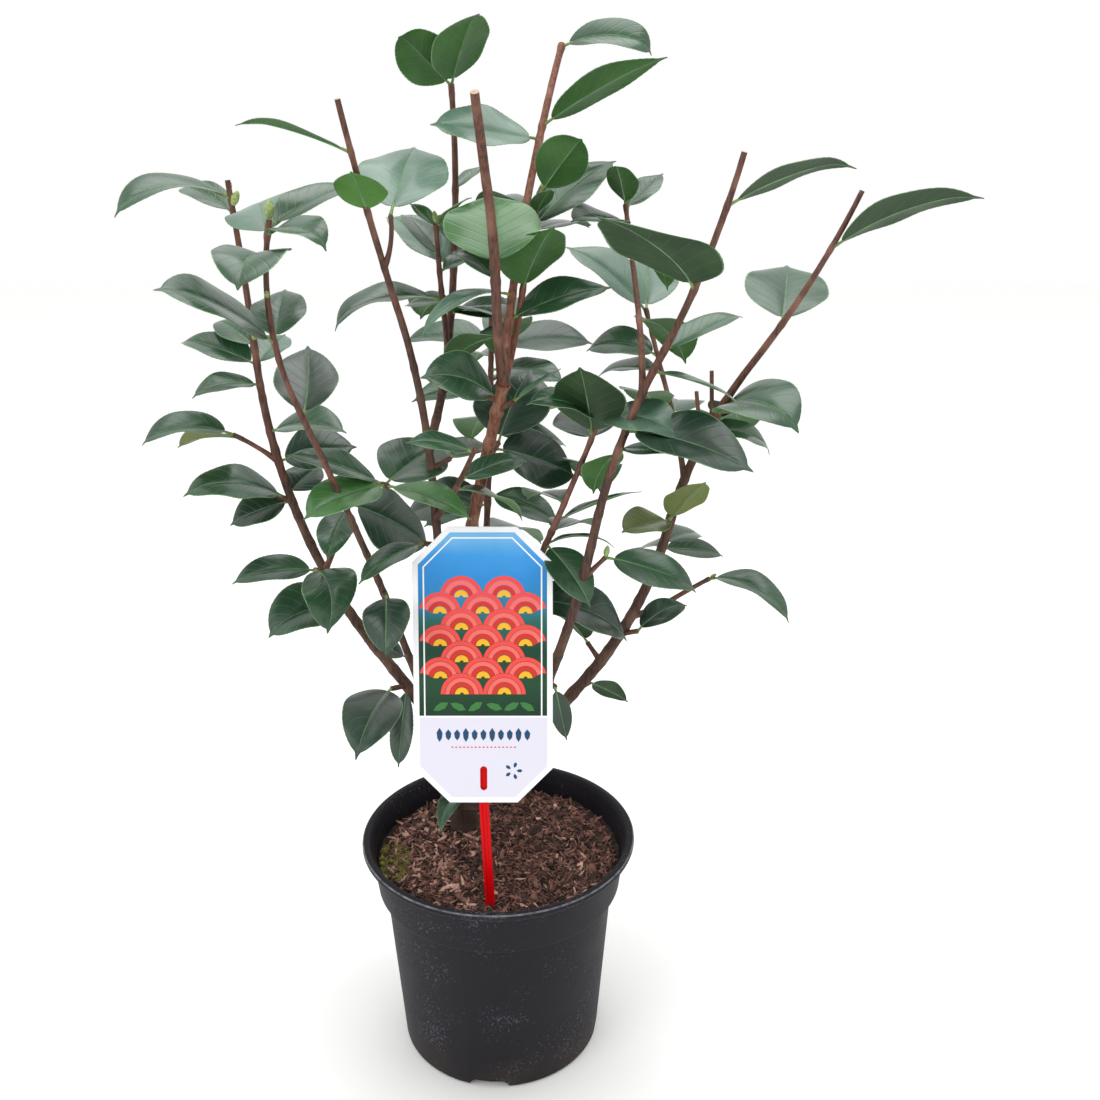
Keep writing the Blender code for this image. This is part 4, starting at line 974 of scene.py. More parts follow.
def blade_ring(place, reach, t, fold, waves, uneven, tooth):
    """Points round the blade at one place, and where they are on the map. The waves are left and right."""
    middle, edge, normal = place
    rib = min(RIB_MOST, RIB_WIDE * (1 - RIB_NARROWS * t) / reach)
    top, under, ring_map = [], [], []
    for k, v in enumerate(ACROSS):
        if v == "rib":
            v = -rib if k < columns // 2 else rib
        size = abs(v)
        lift = math.sin(fold) * size - REFLEX * size**3
        lift += WAVE * size**2 * waves[v >= 0]
        across = reach * math.cos(fold) * v * (1 + (uneven if v < 0 else -uneven))
        if size == 1.0 and tooth:
            across += math.copysign(TOOTH, v)
        thick = (RIM_THICK + (BLADE_THICK - RIM_THICK) * (1 - size)) / 2
        point = middle + edge * across + normal * (reach * lift)
        furrow = FURROW if v == 0.0 else 0.0
        ridge = RIB_DEEP * (1 - 0.8 * t) if v == 0.0 else 0.0
        top.append(point + normal * (thick - furrow))
        under.append(point - normal * (thick + ridge))
        ring_map.append((t, 0.5 + v / 2))
    return top + under[::-1], ring_map + ring_map[::-1]


print("half width along a blade:", [round(outline(t / 10, 0.2), 2) for t in range(11)])

# %% One leaf
# seeded spreads: fold, twist and curl in degrees. A leaf's own curl, sweep or taper goes before them
FOLD_SPREAD = (-4, 6)
TWIST_SPREAD = (-10, 10)
WAVE_COUNT = (1.2, 2.1)
UNEVEN_SPREAD = (-0.06, 0.06)
CURL_SPREAD = (5, 35)
SWEEP_SPREAD = (-0.05, 0.05)
TAPER_SPREAD = (0.0, 0.35)


def blade_frame(base, row, share, curl, sweep):
    """A leaf's frame with the tip's curl and the blade's sideways sweep."""
    heading, rise, length, arch, _, roll, _ = row
    if share <= CURL_FROM:
        middle, edge, normal = leaf_frame(base, heading, rise, length, arch, roll, share)
    else:
        middle, edge, normal = leaf_frame(base, heading, rise, length, arch, roll, CURL_FROM)
        ahead = np.cross(edge, normal)
        far = share - CURL_FROM
        bend = math.radians(arch * (1 - CURL_FROM) + curl)
        turn = bend * far / (1 - CURL_FROM)
        reach = length * far / turn
        middle = middle + ahead * (reach * math.sin(turn)) - normal * (reach * (1 - math.cos(turn)))
        normal = normal * math.cos(turn) + ahead * math.sin(turn)
    return middle + edge * (length * sweep * share * share), edge, normal


def leaf_shape(stem, at, row, form, dice):
    """Closed skin and stalk of one leaf, with its face slots and its map."""
    heading, rise, length, arch, width, roll, fold = row
    base = on_path(limbs[stem]["path"], form.get("at", at))
    half = length * width / 2
    fold = math.radians(fold + dice.uniform(*FOLD_SPREAD))
    twist = dice.uniform(*TWIST_SPREAD)
    phase = dice.uniform(0, 2 * math.pi)
    wave_count = dice.uniform(*WAVE_COUNT)
    uneven = dice.uniform(*UNEVEN_SPREAD)
    curl = form.get("curl", dice.uniform(*CURL_SPREAD)) + 0.01
    sweep = form.get("sweep", dice.uniform(*SWEEP_SPREAD))
    taper = form.get("taper", dice.uniform(*TAPER_SPREAD))
    rings, maps = [], []
    for step, t in enumerate(blade_at):
        share = BLADE_FROM + (1 - BLADE_FROM) * t
        turned_row = (heading, rise, length, arch, width, roll + twist * (t - 0.4), fold)
        place = blade_frame(base, turned_row, share, curl, sweep)
        reach = max(half * outline(t, taper), LEAST_HALF)
        fold_here = fold * (1 - FOLD_FADE * min(1.0, max(0.0, (t - FADE_FROM) / FADE_OVER)) ** 1.5)
        waves = [math.sin(2 * math.pi * wave_count * t + phase + ahead) for ahead in (0, WAVE_SHIFT)]
        tooth = step % 2 and TEETH[0] < t < TEETH[1]
        ring, ring_map = blade_ring(place, reach, t, fold_here, waves, uneven, tooth)
        rings += ring
        maps += ring_map
    tip = blade_frame(base, row, 1.0, curl, sweep)[0]
    faces = band(0, ring_size, BLADE_STEPS, flip=True)
    slots = COLUMN_SLOT * (BLADE_STEPS - 1)
    last = (BLADE_STEPS - 1) * ring_size
    for k in range(ring_size):
        faces.append((last + k, len(rings), last + (k + 1) % ring_size))
        slots.append(COLUMN_SLOT[k])
    faces.append(tuple(range(ring_size)))
    slots.append(2)
    rings.append(tip)
    maps.append((1.0, 0.5))
    stalk_line, stalk_ways = [], []
    for share in (0.0, BLADE_FROM * 0.5, BLADE_FROM, BLADE_FROM + 0.05):
        middle, _, normal = blade_frame(base, row, share, curl, sweep)
        ahead = blade_frame(base, row, share + 0.01, curl, sweep)[0] - middle
        stalk_line.append(middle - normal * (0.3 if share > BLADE_FROM else 0.0))
        stalk_ways.append(ahead / np.linalg.norm(ahead))
    radii = [STALK_R * 1.3, STALK_R, STALK_R * 0.9, STALK_R * 0.5]
    stalk_verts, stalk_faces = tube(stalk_line, stalk_ways, radii, STALK_SIDES)
    faces += [tuple(v + len(rings) for v in face) for face in stalk_faces]
    slots += [4] * len(stalk_faces)
    maps += [(0.0, 0.5)] * len(stalk_verts)
    return np.vstack([rings, stalk_verts]), faces, slots, maps


# %% [markdown]
# No two leaves hang alike. The table below names what sets the more telling leaves apart from their row:
# a leaf may point another way, be longer, broader or narrower, lie flatter, curl its tip under, sweep
# sideways or wear another tint. The others get a little of each by the seeded rule.

# %% What sets single leaves apart
def own(heading=None, rise=None, length=None, width=None, curl=None, **others):
    """What a leaf has of its own: the values that are given, by name."""
    given = dict(heading=heading, rise=rise, length=length, width=width, curl=curl, **others)
    return {key: value for key, value in given.items() if value is not None}


# tint 'pale' gives a leaf the cuticle with painted sheen in its base colour
# stem: number of the leaf on it: heading, rise, length, width, curl in degrees, then others by name
FORMS = {
    "left": {
        0: own(width=0.4, curl=30, roll=-15), 1: own(width=0.4, curl=30), 3: own(curl=40),
        6: own(11, 18, 53, 0.8, 10, at=0.6, roll=30, tint="old"),
        7: own(52, 34, 32, 0.9, at=0.55, arch=15, roll=15, tint="old"),
        8: own(71, 26, 42, 0.66, at=0.745, arch=15, tint="pale"),
    },
    "left_shoot": {0: own(width=0.46, fold=24), 1: own(width=0.6, tint="olive")},
    "left_front": {
        0: own(width=0.42, curl=10, taper=0.5), 1: own(curl=70), 2: own(108, 24, 60, 0.72, tint="pale"),
        3: own(length=58, width=0.74, curl=0, fold=10),
        4: own(227, 46, 82, curl=20, roll=-30, fold=12, taper=-0.3),
        5: own(92, 35, 54, curl=10, at=0.845, fold=8),
        6: own(89, 30, 72, 0.56, 5, fold=8, sweep=0.12, tint="old"),
    },
    "mid_left": {
        0: own(168, 23, 69, 0.27, 25, arch=16), 1: own(255, 52, 32, 1.0, 10, roll=0, fold=8, tint="fresh"),
    },
    "mid_shoot": {0: own(83, 36, 82, 0.66, 10, fold=8, tint="pale")},
    "mid_back": {
        0: own(298, 56, 55, 0.74, 40, fold=8), 1: own(216, 41, 49, 0.7, 60, at=0.995, fold=12),
        2: own(60, 32, 38, 0.36), 3: own(143, 38, 68, tint="pale"), 5: own(length=34),
    },
    "centre": {
        0: own(330, 42, 32, tint="fresh"), 1: own(tint="fresh"), 2: own(roll=10),
        3: own(204, 19, 77, 0.44, 45, at=0.42, arch=51, roll=-10), 4: own(30, 24, 36, arch=20, roll=10),
    },
    "top_front": {0: own(97, 52, 58, 1.0, 15, fold=8, tint="fresh"), 1: own(rise=42, length=42)},
    "top_back": {
        0: own(348, 26, 63, 0.38, 60, arch=53, roll=42, taper=-0.9), 1: own(width=0.33, curl=10, taper=0.8),
        2: own(197, length=68, width=0.58, curl=15, roll=-33, taper=-0.4, tint="pale"),
        3: own(213, 19, 69, 0.24, 20, roll=-8, tint="pale"), 4: own(width=0.56), 6: own(at=0.13),
    },
    "top_right": {
        0: own(width=0.6, curl=40), 1: own(36, 43, 74, taper=0.1), 3: own(302, 60, 51, 0.9, 10, fold=10),
    },
    "right_front": {
        0: own(16, 29, 77, 0.28, 35, arch=24, taper=0.5, tint="old"),
        1: own(243, 44, 69, 0.86, 10, roll=0, fold=8, sweep=-0.5, tint="old"), 3: own(13, -11, 61),
        4: own(curl=5, tint="old", taper=0.1),
    },
    "right_shoot": {2: own(227, 12, 52, 0.66, tint="old")},
    "right": {
        0: own(345, 39, 96, 0.31, 20, arch=33, taper=0.6, tint="old"), 1: own(76, 33, 76, 0.74, 8, fold=6),
        2: own(306, 47, 80, 0.68, 20, arch=85), 3: own(16, 11, 55, curl=30),
    },
    "back": {
        0: own(3, 15, 75, curl=20, at=0.93, arch=30, roll=25, tint="old"),
        1: own(173, 7, 65, curl=20, at=0.945), 10: own(172, 8, 70, 0.62, 20, roll=-30, tint="old"),
    },
    "inner": {
        0: own(254, 66, 61, 0.74, 8, at=0.93, fold=12, tint="old"),
        1: own(325, 32, 63, 0.6, 15, at=0.96, tint="pale"),
        3: own(95, 18, 54, 0.78, 10, arch=10, fold=8, tint="old"), 4: own(rise=23),
        5: own(10, 25, 48, 0.34, 15, at=0.67, arch=60, tint="old"), 6: own(309, -19, 53, 0.56, 15),
        7: own(7, length=83, width=0.56, curl=15, tint="old"),
    },
    "inner_right": {
        0: own(83, 29, width=0.68, curl=8, fold=8, tint="pale"), 1: own(152, 52, 74, curl=10, tint="pale"),
        3: own(150, 16, 54, curl=20, arch=50), 4: own(165, 32, 52, 0.62, 20, at=0.72, arch=60, roll=-25),
    },
    "inner_left": {
        0: own(329, 3, 66, 0.4, 15, roll=8, tint="fresh"), 1: own(56, 24, 60, 0.8, 10, roll=20),
        2: own(196, 35, 63, 0.46, 15), 3: own(227, 9, 63, 0.6, 15, at=0.98, tint="fresh"),
        4: own(19, -23, 64, 0.85, 10, arch=20, roll=35, fold=8, tint="old"),
    },
    "low_right": {0: own(326, 22, 71, 0.4, 20, arch=74, roll=6)},
    "left_a": {
        0: own(259, 14, 86, 0.45, 20, arch=34, tint="old"),
        1: own(260, -56, 57, 0.28, 10, at=0.0, arch=10, taper=-0.9, tint="old"),
    },
    "left_b": {0: own(10, -22, 32, 0.62, 10, roll=25, tint="old")},
    "left_c": {0: own(216, 32, 60, 0.78, 15, at=0.4, arch=75)},
    "left_d": {0: own(309, 8, 56, 0.74, 20, sweep=-0.3)},
    "left_e": {
        0: own(205, 42, 71, curl=20, at=0.35, arch=66),
        1: own(191, -8, 44, 0.72, 15, at=0.1, roll=-32, tint="old"),
    },
    "front_a": {0: own(277, 1, 49, curl=10, tint="old")},
    "main_a": {
        0: own(66, 52, 60, 0.92, 10, roll=0, fold=8, tint="old"),
        1: own(15, -12, width=0.8, curl=15, roll=38, fold=8, tint="old"),
    },
    "main_b": {0: own(208, 48, 54, 0.7, 15, at=0.2, arch=52, roll=-42)},
    "main_c": {0: own(25, 31, 36, 0.22, 5, arch=5, roll=0, tint="pale")},
    "mid_a": {0: own(width=0.38, roll=-6)},
    "right_a": {0: own(301, -66, 36, 0.44, 5, arch=5, tint="old")},
    "right_c": {0: own(25, -30, 38, 0.46, 10, roll=-60, tint="old")},
    "right_d": {0: own(215, 58, width=0.6, curl=10, roll=14, tint="old")},
    "right_e": {0: own(28, 42, 44, curl=15, tint="old")},
    "right_g": {0: own(310, 52, 47, 0.64, 10, tint="olive"), 1: own(225, 11, 49, 0.62, 10, tint="olive")},
    "foot_a": {0: own(231, 47, width=0.38, curl=5, at=0.2, arch=95, sweep=0.3)},
}
print("leaves with values of their own:", sum(len(forms) for forms in FORMS.values()))

# %% [markdown]
# The leaves are joined by the part of the crown they fill, so that no piece grows too heavy to store. Each
# tint brings its own pair of materials; the midrib, the rim and the stalk are shared by all.

# %% All leaves
FLATTER = 0.7  # a leaf that keeps the usual facing shows this share of it
USUAL_WITHIN = 9.0  # degrees of the usual facing
ROW_KEYS = ("heading", "rise", "length", "arch", "width", "roll", "fold")
CROWN_PARTS = {
    "leaves_left": ("left", "left_front", "inner_left", "left_a", "left_b", "left_c", "left_d", "left_e",
                    "front_a", "foot_a"),
    "leaves_middle": ("mid_left", "mid_back", "centre", "inner_mid", "mid_a", "mid_b", "back", "top_front",
                      "top_back", "top_right", "main_a", "main_b", "main_c"),
    "leaves_right": ("right_front", "right", "inner", "inner_right", "low_right", "right_a", "right_b",
                     "right_c", "right_d", "right_e", "right_f", "right_g"),
}
TINTS = list(CUTICLE)
leaf_materials = []
for tint in TINTS:
    leaf_materials += [CUTICLE[tint], UNDERSIDE[tint]]
leaf_materials += [MIDRIB, RIM, STALK]
leaf_dice = random.Random(SEED + 1)
leaf_numbers = [sum(other[0] == row[0] for other in grown[:k]) for k, row in enumerate(grown)]


def shown_row(row, form):
    """A leaf's row as it is shown: a little flatter than its solid, then with what its form changes."""
    row = dict(zip(ROW_KEYS, row))
    if abs(row["roll"] - LEAF_FACING * math.cos(math.radians(row["heading"]))) < USUAL_WITHIN:
        row["roll"] *= FLATTER
    return tuple(form.get(key, row[key]) for key in ROW_KEYS)


for piece_name, members in CROWN_PARTS.items():
    nodes = ["foliage_" + name for name in members]
    leaf_shapes, maps = [], []
    for number, (stem, at, *row) in zip(leaf_numbers, grown):
        if node_of[stem] not in nodes:
            continue
        form = FORMS.get(stem, {}).get(number, {})
        verts, faces, slots, leaf_map = leaf_shape(stem, at, shown_row(row, form), form, leaf_dice)
        first = 2 * TINTS.index(form.get("tint", "grown"))
        slots = [first + s if s < 2 else 2 * len(TINTS) + s - 2 for s in slots]
        leaf_shapes.append((verts, faces, slots))
        maps += leaf_map
    verts, faces, slots = join_shapes(leaf_shapes)
    item = show_mesh(piece_name, verts, faces, leaf_materials, slots, maps)
    settle(item, *nodes, slot="foliage")
settle(twigs, *["foliage_" + n for n, row in LIMBS.items() if row[7] < 1], slot="bark")

# %% [markdown]
# ## Buds
#
# At the tips of the shoots, and in the angle between some leaves and their stem, sit plump pointed buds
# wrapped in overlapping scales. One bud is modelled here and Geometry Nodes sets a copy on each of a
# handful of points. Each point carries the way the bud faces and its size as attributes, so a bud can be
# moved or enlarged without touching the tree.

# %% One bud
BUD_LENGTH = 9.0
BUD_R = 2.3
BUD_SUNK = 0.8  # mm of its base that are in the wood
BUD_RINGS = 14
BUD_SIDES = 12


def bud_shape():
    """A pointed bud along z, with ranks of scales stepping its skin."""
    rings = []
    for i in range(BUD_RINGS):
        t = i / (BUD_RINGS - 1) * 0.97
        body = math.sin(math.pi * min(1.0, t * 0.86 + 0.1)) ** 0.8
        for k in range(BUD_SIDES):
            a = 2 * math.pi * k / BUD_SIDES + 1.3 * t
            scale = 1 + 0.1 * math.cos(3 * a + 4.2 * math.floor(t * 4)) * (1 - (t * 4) % 1)
            reach = max(BUD_R * body * scale, 0.25)
            rings.append((reach * math.cos(a), reach * math.sin(a), BUD_LENGTH * t - BUD_SUNK))
    faces = band(0, BUD_SIDES, BUD_RINGS)
    rings.append((0.0, 0.0, BUD_LENGTH - BUD_SUNK))
    last = (BUD_RINGS - 1) * BUD_SIDES
    faces += [(last + k, last + (k + 1) % BUD_SIDES, len(rings) - 1) for k in range(BUD_SIDES)]
    faces.append(tuple(range(BUD_SIDES))[::-1])
    return rings, faces


print("points of a bud:", len(bud_shape()[0]))

# %% [markdown]
# The tree for the buds turns the points it is given into copies of one bud, faced and sized by the points'
# own attributes. Realize Instances makes the copies real geometry, and Set Material gives them the finish.
# Two helpers make any such tree and run it; the mulch uses them too.

# %% The buds' tree
def new_tree(name, inputs):
    """Geometry Nodes tree with its Geometry sockets and these named inputs."""
    tree = bpy.data.node_groups.new(name, "GeometryNodeTree")
    tree.interface.new_socket("Geometry", in_out="INPUT", socket_type="NodeSocketGeometry")
    for label, kind in inputs:
        tree.interface.new_socket(label, in_out="INPUT", socket_type=kind)
    tree.interface.new_socket("Geometry", in_out="OUTPUT", socket_type="NodeSocketGeometry")
    return tree, add(tree, "NodeGroupInput"), add(tree, "NodeGroupOutput")


def run_tree(item, tree, values):
    """Puts the tree on the object, sets its inputs, and keeps what it makes as the object's mesh."""
    modifier = item.modifiers.new(tree.name, "NODES")
    modifier.node_group = tree
    for socket in tree.interface.items_tree:
        if socket.in_out == "INPUT" and socket.name in values:
            modifier[socket.identifier] = values[socket.name]
    keep_result(item)


BUD_INPUTS = (("Bud", "NodeSocketObject"), ("Finish", "NodeSocketMaterial"))
bud_tree, take, give = new_tree("buds_on_points", BUD_INPUTS)
points = add(bud_tree, "GeometryNodeMeshToPoints", {"Mesh": take.outputs["Geometry"]})
facing = add(bud_tree, "GeometryNodeInputNamedAttribute", {"Name": "way"}, data_type="FLOAT_VECTOR")
size = add(bud_tree, "GeometryNodeInputNamedAttribute", {"Name": "size"}, data_type="FLOAT")
turned_to = add(bud_tree, "FunctionNodeAlignRotationToVector", {"Vector": facing.outputs["Attribute"]},
                axis="Z")
shape = add(bud_tree, "GeometryNodeObjectInfo", {"Object": take.outputs["Bud"]})
copies = add(bud_tree, "GeometryNodeInstanceOnPoints",
             {"Points": points.outputs[0], "Instance": shape.outputs["Geometry"],
              "Rotation": turned_to.outputs[0], "Scale": size.outputs["Attribute"]})
real = add(bud_tree, "GeometryNodeRealizeInstances", {"Geometry": copies.outputs[0]})
skin = add(bud_tree, "GeometryNodeSetMaterial",
           {"Geometry": real.outputs[0], "Material": take.outputs["Finish"]})
bud_tree.links.new(skin.outputs[0], give.inputs["Geometry"])
print(bud_tree.name, len(bud_tree.nodes), "nodes")

# %% Where the buds are
# stem, place on it, heading, rise, size
BUDS = (
    ("left", 0.985, 60, 75, 0.55), ("left", 0.965, -20, 62, 1.15), ("left", 0.78, -60, 50, 0.8),
    ("left_front", 1.0, 40, 84, 1.15), ("left_front", 0.9, -80, 55, 0.6),
    ("centre", 1.0, 200, 82, 0.8), ("top_right", 1.0, 30, 80, 0.6),
    ("right_b", 1.0, 0, 80, 0.85), ("low_right", 1.0, -10, 40, 0.6),
)
BUD_OUT = 0.8  # how far a bud stands off its stem's midline, as a share of the tip's radius
bud_ways = [turn_of(heading, rise) for _, _, heading, rise, _ in BUDS]
bud_points = [on_path(limbs[stem]["path"], at) + way * BUD_OUT * limbs[stem]["r1"]
              for (stem, at, *_), way in zip(BUDS, bud_ways)]
buds = show_mesh("buds", bud_points, [], [], smooth=False)
way = buds.data.attributes.new("way", "FLOAT_VECTOR", "POINT")
way.data.foreach_set("vector", np.array(bud_ways).ravel())
size = buds.data.attributes.new("size", "FLOAT", "POINT")
size.data.foreach_set("value", [row[4] for row in BUDS])
bud = show_mesh("bud", *bud_shape(), [])
run_tree(buds, bud_tree, {"Bud": bud, "Finish": BUD})
bpy.data.objects.remove(bud)
settle(buds, slot="foliage")

# %% [markdown]
# ## Pot
#
# The pot is thin black polypropylene, moulded in one shot: a tapered wall, a wider collar for the fingers
# of a potting machine, and a rolled rim. It is a body of revolution, so its section is drawn once, its
# corners are rounded, and it is turned on the z axis. The drain arches round the foot are then cut by a
# Boolean with four plugs.

# %% Pot profile
GAP_IN_POT = 0.4  # mm between the mulch and the wall
POT_HEIGHT = 162.0
POT_FOOT_R = 70.5
POT_NECK_R = 79.8
COLLAR_LOW_R = 85.0
COLLAR_TOP_R = 88.5
COLLAR_LOW_Z = 124.0
RIM_R = 95.0
RIM_LOW = 153.5
WALL = 2.0
POT_SIDES = 192
CORNER_STEPS = 4
CORNER_MOST = 0.45  # a rounded corner takes at most this share of the line beside it


def pot_inside(height):
    """Inner radius of the wall at a height."""
    if height < COLLAR_LOW_Z:
        return POT_FOOT_R + (POT_NECK_R - POT_FOOT_R) * height / COLLAR_LOW_Z - WALL
    share = (height - COLLAR_LOW_Z) / (RIM_LOW - COLLAR_LOW_Z)
    return COLLAR_LOW_R + (COLLAR_TOP_R - COLLAR_LOW_R) * share - WALL


# radius, height, how much the corner is rounded
POT_SECTION = (
    (0.0, 0.0, 0.0), (POT_FOOT_R, 0.0, 3.2), (POT_NECK_R, COLLAR_LOW_Z - 0.6, 1.0),
    (COLLAR_LOW_R, COLLAR_LOW_Z + 1.4, 1.6), (COLLAR_TOP_R, RIM_LOW + 0.4, 1.4),
    (92.4, RIM_LOW + 1.8, 0.9), (93.1, 157.3, 0.5), (RIM_R, 158.3, 0.9), (RIM_R, POT_HEIGHT, 1.7),
    (90.4, POT_HEIGHT, 1.3), (88.4, 158.8, 1.2), (pot_inside(152.0), 152.0, 1.0),
    (pot_inside(128.0), 128.0, 1.0), (pot_inside(123.0), 124.6, 1.0), (pot_inside(3.0), 3.0, 2.0),
    (0.0, 3.0, 0.0),
)


print("pot:", POT_HEIGHT, "mm high,", 2 * RIM_R, "mm over the rim, wall", WALL, "mm")


# %% Rounding a section and turning it
def rounded(corners):
    """Outline through the corners with each one turned to an arc that starts so far before it."""
    line = []
    for k, (x, z, size) in enumerate(corners):
        here = np.array([x, z])
        if not size:
            line.append(here)
            continue
        before = np.array(corners[k - 1][:2]) - here
        after = np.array(corners[(k + 1) % len(corners)][:2]) - here
        start = here + before / np.linalg.norm(before) * min(size, np.linalg.norm(before) * CORNER_MOST)
        end = here + after / np.linalg.norm(after) * min(size, np.linalg.norm(after) * CORNER_MOST)
        for step in range(CORNER_STEPS + 1):
            t = step / CORNER_STEPS
            line.append(start * (1 - t) ** 2 + here * 2 * t * (1 - t) + end * t * t)
    return line


def turned(profile, sides):
    """Closed body of revolution round the z axis, from a profile that starts and ends on the axis."""
    verts = [(0.0, 0.0, profile[0][1])]
    for r, z in profile[1:-1]:
        for k in range(sides):
            a = 2 * math.pi * k / sides
            verts.append((r * math.cos(a), r * math.sin(a), z))
    verts.append((0.0, 0.0, profile[-1][1]))
    faces = []
    rings = len(profile) - 2
    for k in range(sides):
        n = (k + 1) % sides
        faces.append((0, 1 + n, 1 + k))
        for i in range(rings - 1):
            a = 1 + i * sides
            faces.append((a + k, a + n, a + n + sides, a + k + sides))
        last = 1 + (rings - 1) * sides
        faces.append((last + k, last + n, len(verts) - 1))
    return verts, faces


print("points of the rounded section:", len(rounded(POT_SECTION)))

# %% [markdown]
# The plastic is black with a fine matt skin. On a pot that has stood in a nursery it is never plain: it is
# cloudy, dusted with pale specks of lime and soil, and brown with splashed mud near the ground. Three noise
# patterns and the height above the floor mix those colours. The rim's upper edge is glossier, and a band of
# lighter grey base colour along it is a painted highlight.

# %% Pot materials
CLOUD_MM = 38.0
SPECK_MM = 1.7
SPLASH_TOP = 0.05  # metres above the floor
POT_BLACK, pot_nodes, pot_shader, pot_place = new_material("polypropylene_black", "#19181b", 0.5, ior=1.49,
                                                           shine=0.15)
cloud = add(pot_nodes, "ShaderNodeTexNoise",
            {"Vector": pot_place, "Scale": per_mm(CLOUD_MM), "Detail": 5.0})
speck = add(pot_nodes, "ShaderNodeTexNoise",
            {"Vector": pot_place, "Scale": per_mm(SPECK_MM), "Detail": 4.0})
dust = add(pot_nodes, "ShaderNodeMath", {0: cloud.outputs["Fac"], 1: 0.7, 2: speck.outputs["Fac"]},
           operation="MULTIPLY_ADD")
dusty = add(pot_nodes, "ShaderNodeMapRange", {0: dust.outputs[0], 1: 0.98, 2: 1.18, 4: 0.5})
grey = add(pot_nodes, "ShaderNodeMapRange", {0: cloud.outputs["Fac"], 1: 0.35, 2: 0.7, 4: 0.3})
worn = add(pot_nodes, "ShaderNodeMix", {0: grey.outputs[0], 6: linear("#1a181d"), 7: linear("#2c2a31")},
           data_type="RGBA")
height_in = add(pot_nodes, "ShaderNodeSeparateXYZ", {0: pot_place})
splash = add(pot_nodes, "ShaderNodeMapRange",
             {0: height_in.outputs["Z"], 1: 0.0, 2: SPLASH_TOP, 3: 1.0, 4: 0.0})
mud = add(pot_nodes, "ShaderNodeMath", {0: splash.outputs[0], 1: cloud.outputs["Fac"]}, operation="MULTIPLY")
muddy = add(pot_nodes, "ShaderNodeMapRange", {0: mud.outputs[0], 1: 0.2, 2: 0.65, 4: 0.6})
low_tinted = add(pot_nodes, "ShaderNodeMix", {0: muddy.outputs[0], 6: worn.outputs[2], 7: linear("#3d332c")},
             data_type="RGBA")
dusted = add(pot_nodes, "ShaderNodeMix", {0: dusty.outputs[0], 6: low_tinted.outputs[2], 7: linear("#6e6c74")},
             data_type="RGBA")
pot_nodes.links.new(dusted.outputs[2], pot_shader.inputs["Base Color"])
matt = add(pot_nodes, "ShaderNodeMapRange", {0: cloud.outputs["Fac"], 1: 0.3, 2: 0.7, 3: 0.5, 4: 0.66})
pot_nodes.links.new(matt.outputs[0], pot_shader.inputs["Roughness"])
peel = add(pot_nodes, "ShaderNodeBump",
           {"Height": speck.outputs["Fac"], "Distance": 0.00012, "Strength": 0.5})
pot_nodes.links.new(peel.outputs[0], pot_shader.inputs["Normal"])
# painted highlight: the band along the rim's upper edge gets a lighter grey base colour, and is glossier
POT_RIM_HIGHLIGHT = plain_finish("polypropylene_worn_edge", "#2b2a30", "#76767f", 5.0, 0.35)  # greyer, glossier
print("pot materials:", POT_BLACK.name, POT_RIM_HIGHLIGHT.name)

# %% Pot with its drain arches
NOTCHES = 4
NOTCH_TURN = -95.0
NOTCH_WIDTH = 28.0
NOTCH_HEIGHT = 7.5
NOTCH_REACH = 8.0
NOTCH_STEPS = 16
RIM_HIGHLIGHT_WIDTH = 1.1  # mm in from the rim's edge that carry the painted highlight
RIM_HIGHLIGHT_FROM, RIM_HIGHLIGHT_TO = POT_HEIGHT - 1.2, POT_HEIGHT - 0.15

pot_item = show_mesh("nursery_pot", *turned(rounded(POT_SECTION), POT_SIDES), [POT_BLACK])
plug_verts, plug_faces = [], []
for k in range(NOTCHES):
    way = math.radians(NOTCH_TURN + 360.0 * k / NOTCHES)
    out_way = np.array([math.cos(way), math.sin(way), 0.0])
    across = np.array([-math.sin(way), math.cos(way), 0.0])
    arch = [(-NOTCH_WIDTH / 2, -1.0)]
    for step in range(NOTCH_STEPS + 1):
        turn = math.pi * (1 - step / NOTCH_STEPS)
        arch.append((NOTCH_WIDTH / 2 * math.cos(turn), NOTCH_HEIGHT * math.sin(turn) ** 0.7))
    arch.append((NOTCH_WIDTH / 2, -1.0))
    first = len(plug_verts)
    count = len(arch)
    for reach in (POT_FOOT_R - NOTCH_REACH, POT_FOOT_R + 6.0):
        plug_verts += [out_way * reach + across * x + np.array([0.0, 0.0, z]) for x, z in arch]
    plug_faces += [tuple(range(first, first + count)), tuple(range(first + count, first + 2 * count))[::-1]]
    plug_faces += band(first, count, 2, flip=True)
plugs = show_mesh("plugs", plug_verts, plug_faces, [], smooth=False)
cut_away(pot_item, plugs)
pot_mesh = pot_item.data
pot_mesh.shade_smooth()
pot_mesh.set_sharp_from_angle(angle=SHARP)
pot_mesh.materials.append(POT_RIM_HIGHLIGHT)
# the faces along the rim's upper edge take the painted highlight
for face in pot_mesh.polygons:
    x, y, z = face.center / MM
    if math.hypot(x, y) > RIM_R - RIM_HIGHLIGHT_WIDTH and RIM_HIGHLIGHT_FROM < z < RIM_HIGHLIGHT_TO:
        face.material_index = len(pot_mesh.materials) - 1
settle(pot_item, "pot", slot="pot")

# %% [markdown]
# ## Mulch
#
# The pot is topped with shredded bark over peat. The bed is a lumpy disc. Over it Geometry Nodes deals
# thousands of small things: flat flakes, splinters and crumbs in three browns, pale root fibres, and a
# patch of moss inside the rim. Each kind has a few shapes in a collection and is dealt with its own seed,
# density, sizes and tilt, so the mulch can be made coarser or finer by its inputs alone.

# %% Bed
BED_REACH = 86.0  # mm: where the mound runs out
BED_LUMP = 2.2
BED_RINGS = 44
BED_SIDES = 128


